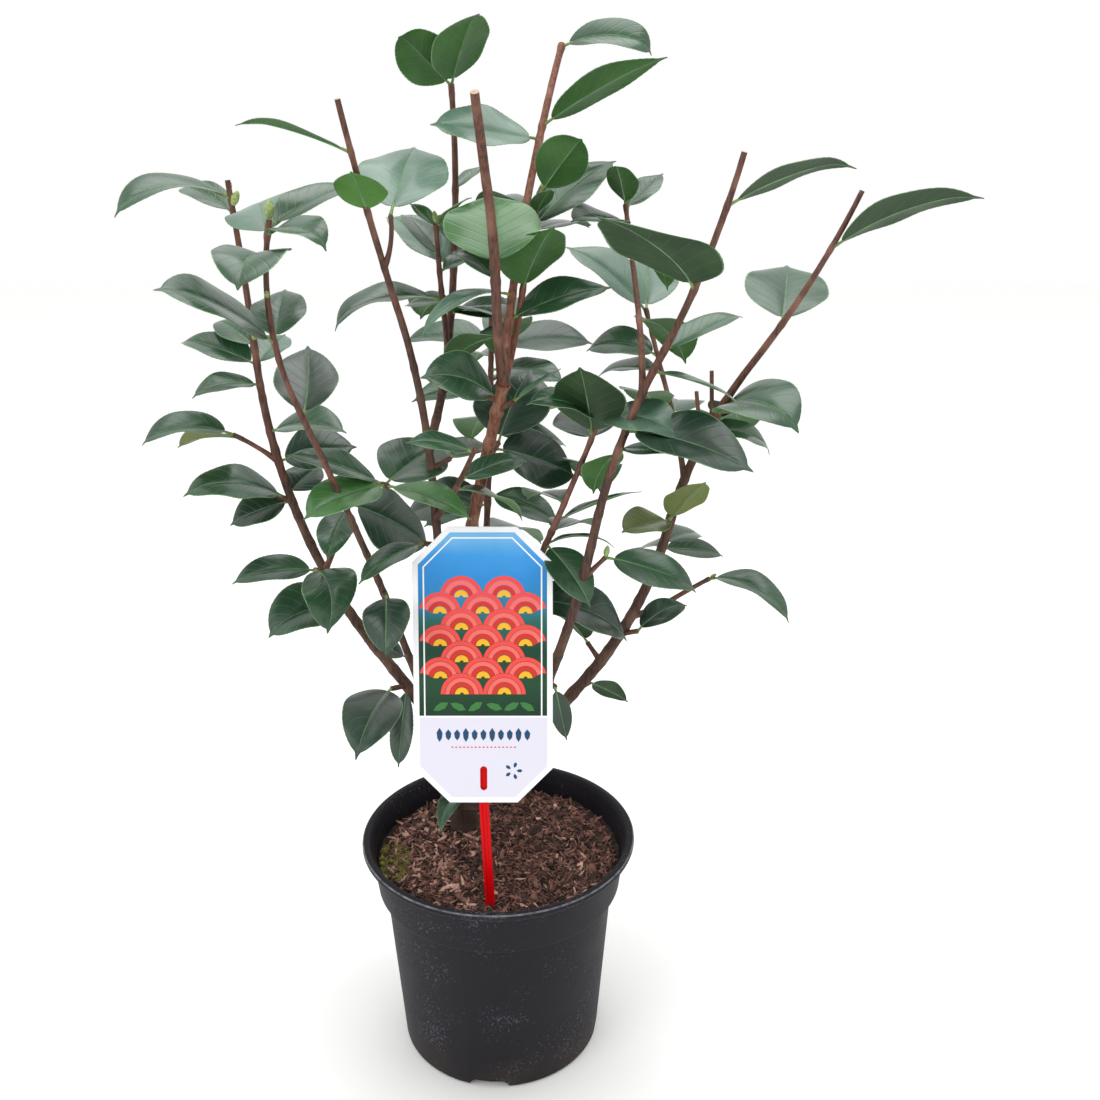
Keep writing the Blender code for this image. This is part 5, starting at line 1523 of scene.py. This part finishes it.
def soil_height(x, y):
    """Level of the mulch: a low mound with a few swells."""
    far = math.hypot(x, y) / BED_REACH
    swell = math.sin(x * 0.07 + 1.1) * math.cos(y * 0.06 - 0.4) + 0.5 * math.sin(x * 0.15 - y * 0.11)
    return SOIL_TOP + SOIL_LUMP * (0.55 * (1 - far * far) + 0.28 * swell)


def bed_height(x, y):
    """Level of the peat under the flakes: the mulch's, with fine lumps."""
    fine = noise.noise(Vector((x * 0.11, y * 0.11, 4.0))) + 0.6 * noise.noise(Vector((x * 0.3, y * 0.3, 9.0)))
    return soil_height(x, y) + BED_LUMP * fine - 0.8


PEAT = plain_finish("peat_dark", "#1a110e", "#3a261f", 2.6, 0.95, 0.6)  # moist, so nearly black, and crumbly
bed_reach = pot_inside(SOIL_TOP) - GAP_IN_POT
WALL_RINGS = ((pot_inside(129.0) - GAP_IN_POT, 129.0), (pot_inside(122.0) - GAP_IN_POT, 125.4),
              (pot_inside(4.0) - GAP_IN_POT, 3.5))
bed_rings = [(bed_reach * ring / BED_RINGS, None) for ring in range(1, BED_RINGS + 1)] + list(WALL_RINGS)
bed_verts = [(0.0, 0.0, bed_height(0.0, 0.0))]
for reach, level in bed_rings:
    for k in range(BED_SIDES):
        a = 2 * math.pi * k / BED_SIDES
        x, y = reach * math.cos(a), reach * math.sin(a)
        bed_verts.append((x, y, bed_height(x, y) if level is None else level))
top_count = 1 + BED_RINGS * BED_SIDES
bed_faces = [(0, 1 + k, 1 + (k + 1) % BED_SIDES) for k in range(BED_SIDES)]
bed_faces += band(1, BED_SIDES, len(bed_rings), flip=True)
bed_faces.append(tuple(range(len(bed_verts) - BED_SIDES, len(bed_verts)))[::-1])
bed = show_mesh("peat_bed", bed_verts, bed_faces, [PEAT])
settle(bed, "soil", slot="soil")

# %% Flakes, fibres and moss
CHIP_DARK = plain_finish("bark_chip_dark", "#241814", "#55382f", 6.0, 0.85, 0.2)  # old wet outer bark
CHIP_RUST = plain_finish("bark_chip_rust", "#4a2e26", "#96685a", 6.0, 0.8, 0.2)  # drier, red-brown
CHIP_PALE = plain_finish("bark_chip_pale", "#8c6456", "#dcb2a0", 7.0, 0.75, 0.2)  # freshly split, pink-brown
FIBRE = plain_finish("root_fibre_straw", "#7a5344", "#bd9079", 5.0, 0.8)  # dry threads that catch the light
MOSS = plain_finish("moss_green", "#5a6027", "#979546", 2.4, 0.9)  # soft yellow-green tufts


def flake(length, width, thick, dice, bend=0.0):
    """A torn flake: a thin closed prism with uneven ends and edges."""
    outline = []
    for x, y in ((-0.5, -0.3), (-0.1, -0.5), (0.35, -0.42), (0.5, 0.1), (0.2, 0.5), (-0.3, 0.42)):
        outline.append((length * (x + dice.uniform(-0.1, 0.1)), width * (y + dice.uniform(-0.16, 0.16))))
    count = len(outline)
    lift = [bend * (x / length) ** 2 * length for x, _ in outline]
    verts = [(x, y, z + thick / 2) for (x, y), z in zip(outline, lift)]
    verts += [(x * 0.92, y * 0.9, z - thick / 2) for (x, y), z in zip(outline, lift)]
    faces = [tuple(range(count)), tuple(range(count, 2 * count))[::-1]]
    faces += [(k + count, (k + 1) % count + count, (k + 1) % count, k) for k in range(count)]
    return verts, faces


STRAND_RINGS = 7
STRAND_SIDES = 4


def strand(length, radius, curl, dice):
    """A thin closed tube, curled as a dry root is."""
    turn = dice.uniform(0.6, 1.0) * curl
    last = STRAND_RINGS - 1
    line = []
    for k in range(STRAND_RINGS):
        sway, lift = turn * math.sin(k * 0.9 + turn), 0.4 * turn * math.cos(k * 1.3)
        line.append(np.array([length * (k / last - 0.5), sway, lift]))
    ways = [line[min(k + 1, last)] - line[max(k - 1, 0)] for k in range(STRAND_RINGS)]
    ways = [w / np.linalg.norm(w) for w in ways]
    return tube(line, ways, [radius] * STRAND_RINGS, STRAND_SIDES)


print("mulch finishes:", [made.name for made in (CHIP_DARK, CHIP_RUST, CHIP_PALE, FIBRE, MOSS)])

# %% [markdown]
# One tree deals them all. It strews points over a surface by density, picks a shape for each, turns it
# about the upright axis and tips it by up to the most tilt, and sizes it between two limits.

# %% A tree that deals things over a surface
SCATTER_INPUTS = (("Pieces", "NodeSocketCollection"), ("Per square metre", "NodeSocketFloat"),
                  ("Seed", "NodeSocketInt"), ("Least size", "NodeSocketFloat"),
                  ("Most size", "NodeSocketFloat"), ("Most tilt", "NodeSocketFloat"),
                  ("Finish", "NodeSocketMaterial"))
deal, take, give = new_tree("deal_over_surface", SCATTER_INPUTS)
spots = add(deal, "GeometryNodeDistributePointsOnFaces",
            {"Mesh": take.outputs["Geometry"], "Density": take.outputs["Per square metre"],
             "Seed": take.outputs["Seed"]})
lean_back = add(deal, "ShaderNodeMath", {0: take.outputs["Most tilt"], 1: -1.0}, operation="MULTIPLY")
least_turn = add(deal, "ShaderNodeCombineXYZ", {0: lean_back.outputs[0], 1: lean_back.outputs[0], 2: 0.0})
most_turn = add(deal, "ShaderNodeCombineXYZ", {0: take.outputs["Most tilt"], 1: take.outputs["Most tilt"],
                                               2: 2 * math.pi})
spin = add(deal, "FunctionNodeRandomValue", {0: least_turn.outputs[0], 1: most_turn.outputs[0],
                                             "Seed": take.outputs["Seed"]}, data_type="FLOAT_VECTOR")
grow = add(deal, "FunctionNodeRandomValue", {2: take.outputs["Least size"], 3: take.outputs["Most size"],
                                             "Seed": take.outputs["Seed"]}, data_type="FLOAT")
kinds = add(deal, "GeometryNodeCollectionInfo", {"Collection": take.outputs["Pieces"],
                                                 "Separate Children": True, "Reset Children": True})
dealt = add(deal, "GeometryNodeInstanceOnPoints",
            {"Points": spots.outputs["Points"], "Instance": kinds.outputs[0], "Pick Instance": True,
             "Rotation": spin.outputs[0], "Scale": grow.outputs[1]})
real = add(deal, "GeometryNodeRealizeInstances", {"Geometry": dealt.outputs[0]})
skin = add(deal, "GeometryNodeSetMaterial",
           {"Geometry": real.outputs[0], "Material": take.outputs["Finish"]})
deal.links.new(skin.outputs[0], give.inputs["Geometry"])
print(deal.name, len(deal.nodes), "nodes")

# %% Shapes and places of the mulch
SPREAD_REACH = 81.5  # mm: no flake reaches the pot's wall from inside this
LEFT_OF = -12.0
MOSS_REACH = 84.0
MOSS_PLACE = (-78.0, -17.0, 18.0, 29.0)  # middle of the moss patch, how far it goes in x and in y
chip_dice = random.Random(SEED + 2)


def flakes(count, long, wide, thick, bend=0.0):
    """Several flakes whose length and width lie within these limits."""
    return [flake(chip_dice.uniform(*long), chip_dice.uniform(*wide), thick, chip_dice, bend)
            for _ in range(count)]


# how many shapes, their length, width, thickness and bend
mulch_shapes = {
    "dark": flakes(7, (5, 12), (1.8, 4.2), 0.8, 0.2),
    "rust": flakes(8, (5, 14), (1.3, 3.6), 0.8, 0.15),
    "pale": flakes(9, (5, 15), (1.3, 4.6), 0.9, 0.1),
    "crumb": flakes(5, (1.4, 3.0), (0.8, 1.8), 0.7),
    "fibre": [strand(chip_dice.uniform(9, 20), 0.24, 2.4, chip_dice) for _ in range(7)],
    "moss": flakes(4, (1.6, 2.8), (0.7, 0.9), 0.4, 0.8),
}


def on_bed(x, y):
    """True clear of the pot's wall."""
    return math.hypot(x, y) < SPREAD_REACH


def on_left(x, y):
    """True where fresh pale bark was topped up."""
    return on_bed(x, y) and x < LEFT_OF


def on_moss(x, y):
    """True within the moss patch's oval."""
    across, along_y = (x - MOSS_PLACE[0]) / MOSS_PLACE[2], (y - MOSS_PLACE[1]) / MOSS_PLACE[3]
    return math.hypot(x, y) < MOSS_REACH and math.hypot(across, along_y) < 1


print("shapes of the mulch:", {kind: len(made) for kind, made in mulch_shapes.items()})


# %% Deal the mulch
top_verts = [(x, y, z + 0.5) for x, y, z in bed_verts[:top_count]]  # a loose copy of the bed's top


def deal_kind(name, kind, per_square_metre, seed, least, most, tilt, finish, wanted):
    """One piece of the mulch: a kind of shape, dealt where it is wanted."""
    pieces = bpy.data.collections.new(kind)
    bpy.context.scene.collection.children.link(pieces)
    for k, (verts, faces) in enumerate(mulch_shapes[kind]):
        item = show_mesh(f"{kind}_{k}", verts, faces, [], smooth=False)
        bpy.context.scene.collection.objects.unlink(item)
        pieces.objects.link(item)
    top = [f for f in bed_faces if max(f) < top_count and all(wanted(*bed_verts[v][:2]) for v in f)]
    host = show_mesh(name, top_verts, top, [], smooth=False)
    run_tree(host, deal, {"Pieces": pieces, "Per square metre": per_square_metre, "Seed": seed,
                          "Least size": least, "Most size": most, "Most tilt": math.radians(tilt),
                          "Finish": finish})
    for item in list(pieces.objects):
        bpy.data.objects.remove(item)
    bpy.data.collections.remove(pieces)
    settle(host, slot="soil")


# piece, kind, how many a square metre, seed, least and most size, most tilt, finish, where
deal_kind("mulch_dark", "dark", 62000, 11, 0.5, 1.1, 46, CHIP_DARK, on_bed)
deal_kind("mulch_rust", "rust", 36000, 12, 0.35, 1.15, 46, CHIP_RUST, on_bed)
deal_kind("mulch_pale", "pale", 8000, 13, 0.3, 1.0, 44, CHIP_PALE, on_bed)
deal_kind("mulch_pale_left", "pale", 21000, 17, 0.35, 1.25, 44, CHIP_PALE, on_left)
deal_kind("mulch_crumbs", "crumb", 90000, 16, 0.6, 1.4, 60, CHIP_RUST, on_bed)
deal_kind("root_fibres", "fibre", 40000, 14, 0.5, 1.0, 24, FIBRE, on_bed)
deal_kind("moss", "moss", 1100000, 15, 0.7, 1.4, 60, MOSS, on_moss)

# %% [markdown]
# ## Label
#
# A nursery label is a card of white film with cut-off corners, printed on the front, hung on a stick that
# passes behind it. Its picture here is a generic design: a pattern of coral fans under a blue sky, dark
# leaves below, a pale panel with a row of lozenges. Nothing is an image. Each colour is a very thin plate
# standing in the card; the fans are cut to what shows of them, and plates lie over each other at three
# levels.

# %% Card's plane
CARD_WIDTH = 88.5
CARD_HEIGHT = 178.0
CARD_CORNER = 22.5
CORNER_LOSS = 0.586  # mm that a cut corner loses for each mm of inset: 2 less the root of 2
CARD_THICK = 1.2
CARD_FOOT = np.array([-6.5, -55.0, 220.0])
CARD_LEAN = 14.0  # degrees that the card leans back
card_up = turn_of(90, 90 - CARD_LEAN)
card_out = np.array([0.0, -card_up[2], card_up[1]])
SLOT_WIDTH = 4.6
SLOT_HEIGHT = 16.0
SLOT_RISE = 16.0  # from the card's lower edge to the slot's middle
# smooth white film: its satin skin keeps the card lighter than the plant from every side
FILM = plain_finish("label_film_white", "#f0f0f3", "#f8f8fa", 30.0, 0.35)


def card_point(x, z, depth):
    """Place of a point on the card: x across it, z up it, depth out of its back."""
    return CARD_FOOT + np.array([x, 0.0, 0.0]) + card_up * z + card_out * depth


def slab(outline, front, back):
    """Plate in the card's plane from an outline of (x, z), its front towards the reader."""
    area = sum(a[0] * b[1] - b[0] * a[1] for a, b in zip(outline, [*outline[1:], outline[0]]))
    outline = list(outline) if area > 0 else list(outline)[::-1]
    count = len(outline)
    verts = [card_point(x, z, front) for x, z in outline] + [card_point(x, z, back) for x, z in outline]
    faces = [tuple(range(count)), tuple(range(count, 2 * count))[::-1]]
    faces += band(0, count, 2, flip=True)
    return np.array(verts), faces


def octagon(inset, low, high):
    """The card's outline drawn in by an inset, between two levels."""
    half = CARD_WIDTH / 2 - inset
    corner = CARD_CORNER - inset * CORNER_LOSS
    points = []
    for z in (low, high):
        cut_low = max(0.0, corner - (z - inset))
        cut_high = max(0.0, corner - (CARD_HEIGHT - inset - z))
        points.append((half - max(cut_low, cut_high), z))
    bends = [z for z in (inset + corner, CARD_HEIGHT - inset - corner) if low < z < high]
    right = [points[0], *[(half, z) for z in bends], points[1]]
    return right + [(-x, z) for x, z in right[::-1]]


print("card", CARD_WIDTH, "by", CARD_HEIGHT, "mm, leaning back", CARD_LEAN, "degrees")

# %% Card and its slot
BEVEL = 0.25
card_line = octagon(0.0, 0.0, CARD_HEIGHT)
inner_line = octagon(BEVEL, BEVEL, CARD_HEIGHT - BEVEL)
count = len(card_line)
card_rings = [(inner_line, CARD_THICK), (card_line, CARD_THICK - BEVEL), (card_line, BEVEL),
              (inner_line, 0.0)]
card_verts = [card_point(x, z, depth) for line, depth in card_rings for x, z in line]
card_faces = [tuple(range(count)), tuple(range(3 * count, 4 * count))[::-1]]
card_faces += band(0, count, len(card_rings), flip=True)
card = show_mesh("label_card_film", card_verts, card_faces, [FILM], smooth=False)
slot_line = []
for end in (-1, 1):
    for step in range(9):
        turn = math.pi * step / 8 + (math.pi if end < 0 else 0.0)
        rise = SLOT_RISE + end * (SLOT_HEIGHT - SLOT_WIDTH) / 2
        slot_line.append((SLOT_WIDTH / 2 * math.cos(turn), rise + SLOT_WIDTH / 2 * math.sin(turn)))
plug = show_mesh("slot_plug", *slab(slot_line, CARD_THICK + 2.0, -2.0), [], smooth=False)
cut_away(card, plug)
settle(card, "label_card", slot="label_card")

# %% Printed picture
INKS = {
    "leaf": "#3d7a40", "coral_0": "#ea4e4a", "coral_1": "#f46e66", "coral_2": "#cf352f",
    "yellow": "#f0b52e", "panel": "#dddbe8", "slate": "#244a6c", "white": "#f4f4f7", "coral_dot": "#d8506a",
}
INK_ROUGH = 0.4
INK_SHINE = 0.2  # ink is duller than the film it lies on
ink_names = [*INKS, "sky"]
ink_materials = [new_material("ink_" + name, INKS[name], INK_ROUGH, shine=INK_SHINE)[0] for name in INKS]
HAZE_MM = 26.0
HAZE_SHIFT = 0.016  # metres by which the haze moves the sky's colours
# height on the card in mm, colour: the sky darkens to leaf green
SKY = ((57.0, "#1c3828"), (80.0, "#254c33"), (100.0, "#1c4230"), (118.0, "#2c665c"), (132.0, "#2f80ad"),
       (146.0, "#3288cf"), (160.0, "#3f98dc"), (174.4, "#76b8e8"))
sky_ink, sky_nodes, sky_shader, sky_place = new_material("ink_sky", "#3f98dc", INK_ROUGH, shine=INK_SHINE)
sky_split = add(sky_nodes, "ShaderNodeSeparateXYZ", {0: sky_place})
haze = add(sky_nodes, "ShaderNodeTexNoise", {"Vector": sky_place, "Scale": per_mm(HAZE_MM), "Detail": 2.0})
shift = add(sky_nodes, "ShaderNodeMath",
            {0: haze.outputs["Fac"], 1: HAZE_SHIFT, 2: sky_split.outputs["Z"]}, operation="MULTIPLY_ADD")
sky_low = (CARD_FOOT[2] + card_up[2] * SKY[0][0]) * MM + HAZE_SHIFT / 2
sky_high = (CARD_FOOT[2] + card_up[2] * SKY[-1][0]) * MM + HAZE_SHIFT / 2
sky_share = add(sky_nodes, "ShaderNodeMapRange", {0: shift.outputs[0], 1: sky_low, 2: sky_high})
ramp = add(sky_nodes, "ShaderNodeValToRGB", {0: sky_share.outputs[0]})
while len(ramp.color_ramp.elements) < len(SKY):
    ramp.color_ramp.elements.new(0.5)
for stop, (height, ink) in zip(ramp.color_ramp.elements, SKY):
    stop.position = (height - SKY[0][0]) / (SKY[-1][0] - SKY[0][0])
    stop.color = linear(ink)
sky_nodes.links.new(ramp.outputs[0], sky_shader.inputs["Base Color"])
ink_materials.append(sky_ink)
print("inks:", ink_names)

# %% [markdown]
# The fans stand in rows like scales, each row half a fan aside from the last and partly hidden by the two
# rows under it. What shows of a band of a fan is found by walking out from its middle, in small steps of
# its angle, until a lower fan is met. Plates lie at three levels, a little above each other.

# %% Sky and panel
GROUND, PICTURE, FRAME = 0.08, 0.16, 0.24  # mm that a plate stands out of the card
MARGIN = 3.6  # mm of bare film round the picture
PICTURE_LOW = 57.0
PANEL_HIGH = PICTURE_LOW - 1.2
PICTURE_HIGH = CARD_HEIGHT - MARGIN
FAN_R = 13.5
FAN_ROWS = 7
FAN_RISE = 10.4
FAN_FOOT = 71.0
# from and to, in mm from the fan's middle, and ink
FAN_BANDS = ((1.2, 4.4, "yellow"), (4.8, 7.6, "coral_2"), (7.9, 10.6, "coral_1"), (10.9, FAN_R, "coral_0"))
BAND_STEPS = 8
FAN_STEP = 2  # degrees of one step of the walk
ARC_STEP = 6  # degrees between the points of an arc

prints = [(octagon(MARGIN, PICTURE_LOW, PICTURE_HIGH), "sky", GROUND)]  # (outline, ink, level)
panel_line = octagon(MARGIN, MARGIN, PANEL_HIGH)
slot_right = sorted([(x, z) for x, z in slot_line if x > -0.01], key=lambda p: -p[1])
right_half = [(0.0, MARGIN), *[p for p in panel_line if p[0] > 0], (0.0, PANEL_HIGH)]
right_half += [(0.0, slot_right[0][1]), *slot_right[1:-1], (0.0, slot_right[-1][1])]
prints.append((right_half, "panel", GROUND))
prints.append(([(-x, z) for x, z in right_half], "panel", GROUND))
print("picture from", PICTURE_LOW, "to", PICTURE_HIGH, "mm, panel below it")

# %% Fans
fan_rows = [[(FAN_R * m, FAN_FOOT + FAN_RISE * row) for m in ((-2, 0, 2) if row % 2 else (-1, 1))]
            for row in range(FAN_ROWS)]


def on_fan(centre, r, angle):
    """A place on a fan, by its radius and its angle from upright."""
    angle = math.radians(angle)
    return centre[0] + r * math.sin(angle), centre[1] + r * math.cos(angle)


def seen(place, row):
    """True where no fan of a lower row covers this place."""
    covers = [c for r in fan_rows[max(0, row - 2) : row] for c in r]
    return all(math.hypot(place[0] - x, place[1] - z) >= FAN_R - 0.01 for x, z in covers)


def fan_band(centre, inner, outer, row):
    """Outline of what shows of one band of a fan."""
    left, right = [], []
    for step in range(BAND_STEPS + 1):
        r = inner + (outer - inner) * step / BAND_STEPS
        half = 0
        while half < 92 and all(seen(on_fan(centre, r, s * half), row) for s in (-1, 1)):
            half += FAN_STEP
        if half:
            left.append((r, -half + FAN_STEP))
            right.append((r, half - FAN_STEP))
    if len(left) < 2:
        return None
    top = [(left[-1][0], a) for a in range(left[-1][1], right[-1][1] + 1, ARC_STEP)]
    low = [(right[0][0], a) for a in range(right[0][1], left[0][1] - 1, -ARC_STEP)]
    line = [on_fan(centre, r, a) for r, a in left + top + right[::-1] + low]
    return list(dict.fromkeys((round(x, 2), round(z, 2)) for x, z in line))


for row, middles in enumerate(fan_rows):
    for centre in middles:
        for inner, outer, ink in FAN_BANDS:
            line = fan_band(centre, inner, outer, row)
            if line and len(line) > 3:
                prints.append((line, ink, PICTURE))
print("printed shapes:", len(prints))

# %% Frame line, leaves and lozenges
LINE = 0.9
LINE_INSET = 6.6
PLATE_FOOT = 0.3  # mm of each plate that stands in the card
outer = octagon(LINE_INSET, PICTURE_LOW, CARD_HEIGHT - LINE_INSET)
inner = octagon(LINE_INSET + LINE, PICTURE_LOW, CARD_HEIGHT - LINE_INSET - LINE)
for k in range(len(outer) - 1):
    prints.append(([outer[k], outer[k + 1], inner[k + 1], inner[k]], "white", FRAME))


def lozenge(x, z, long, wide, turn):
    """A pointed shape with its middle at (x, z), its half length and half width, turned by so much."""
    a = math.radians(turn)
    points = ((long, 0.0), (long * 0.35, wide), (-long * 0.45, wide * 0.8), (-long, 0.0),
              (-long * 0.45, -wide * 0.8), (long * 0.35, -wide))
    return [(x + p * math.cos(a) - q * math.sin(a), z + p * math.sin(a) + q * math.cos(a)) for p, q in points]


for x, turn in ((-27, 28), (-16, -24), (-5, 32), (7, -18), (18, 26), (28, -30)):
    prints.append((lozenge(x, 63.0, 5.4, 2.3, turn), "leaf", FRAME))
for k in range(11):
    prints.append((lozenge(-28.0 + 5.6 * k, 44.5, 3.6 if k % 3 else 4.6, 1.9, 90), "slate", PICTURE))
for k in range(17):
    prints.append((lozenge(-20.0 + 2.5 * k, 36.5, 0.8, 0.5, 0), "coral_dot", PICTURE))
RING_MIDDLE = (19.0, 21.0)
RING_R = 4.0
for k in range(5):
    a = 2 * math.pi * k / 5
    x, z = RING_MIDDLE[0] + RING_R * math.cos(a), RING_MIDDLE[1] + RING_R * math.sin(a)
    prints.append((lozenge(x, z, 1.9, 1.1, math.degrees(a)), "slate", PICTURE))
shapes_of_print = []
for line, ink, level in prints:
    verts, faces = slab(line, CARD_THICK + level, CARD_THICK - PLATE_FOOT)
    shapes_of_print.append((verts, faces, [ink_names.index(ink)] * len(faces)))
verts, faces, slots = join_shapes(shapes_of_print)
print_item = show_mesh("label_print", verts, faces, ink_materials, slots, smooth=False)
settle(print_item, slot="label_card")

# %% [markdown]
# ## Stick
#
# The stick is moulded red polystyrene with a channel along its front, which stiffens it and catches the
# light as two bright lines. It is one section lofted along a line that bends where it meets the card.

# %% Stick
STICK_SECTION = ((-3.1, -1.0), (-2.8, -1.3), (2.8, -1.3), (3.1, -1.0), (3.1, 0.9), (2.7, 1.3), (1.5, 1.3),
                 (1.0, 0.4), (-1.0, 0.4), (-1.5, 1.3), (-2.7, 1.3), (-3.1, 0.9))
STICK_BACK = -(GAP + 1.3)  # depth on the card of the stick's midline, behind it
# the red plastic: even, deep and smooth, with a narrow highlight
STICK_RED = new_material("polystyrene_red", "#d2060f", 0.32, ior=1.5, shine=0.12)[0]
stick_low = np.array([-0.8, -66.0, 88.0])
stick_bend = card_point(0.0, -4.0, STICK_BACK)
stick_top = card_point(0.0, 27.0, STICK_BACK)
BEND_FROM, BEND_TO = 0.93, 0.2  # shares of the two straight lengths between which the bend runs
bend_low = stick_low + (stick_bend - stick_low) * BEND_FROM
bend_high = stick_bend + (stick_top - stick_bend) * BEND_TO
# share of the lower length, width: the foot is pointed
stations = [(stick_low + (stick_bend - stick_low) * t, wide)
            for t, wide in ((0.0, 0.25), (0.06, 0.7), (0.12, 1.0), (0.5, 1.0))]
for t in (0.0, 0.25, 0.5, 0.75, 1.0):
    stations.append((bend_low * (1 - t) ** 2 + stick_bend * 2 * t * (1 - t) + bend_high * t * t, 1.0))
stations.append((stick_top, 1.0))
stick_verts = []
for place, wide in stations:
    for x, y in STICK_SECTION:
        stick_verts.append(place + np.array([x * wide, 0.0, 0.0]) + card_out * y)
count = len(STICK_SECTION)
stick_faces = [tuple(range(count))[::-1], tuple(range((len(stations) - 1) * count, len(stations) * count))]
stick_faces += band(0, count, len(stations))
stick = show_mesh("label_stick_red", stick_verts, stick_faces, [STICK_RED])
settle(stick, "label_stick", slot="label_stick")
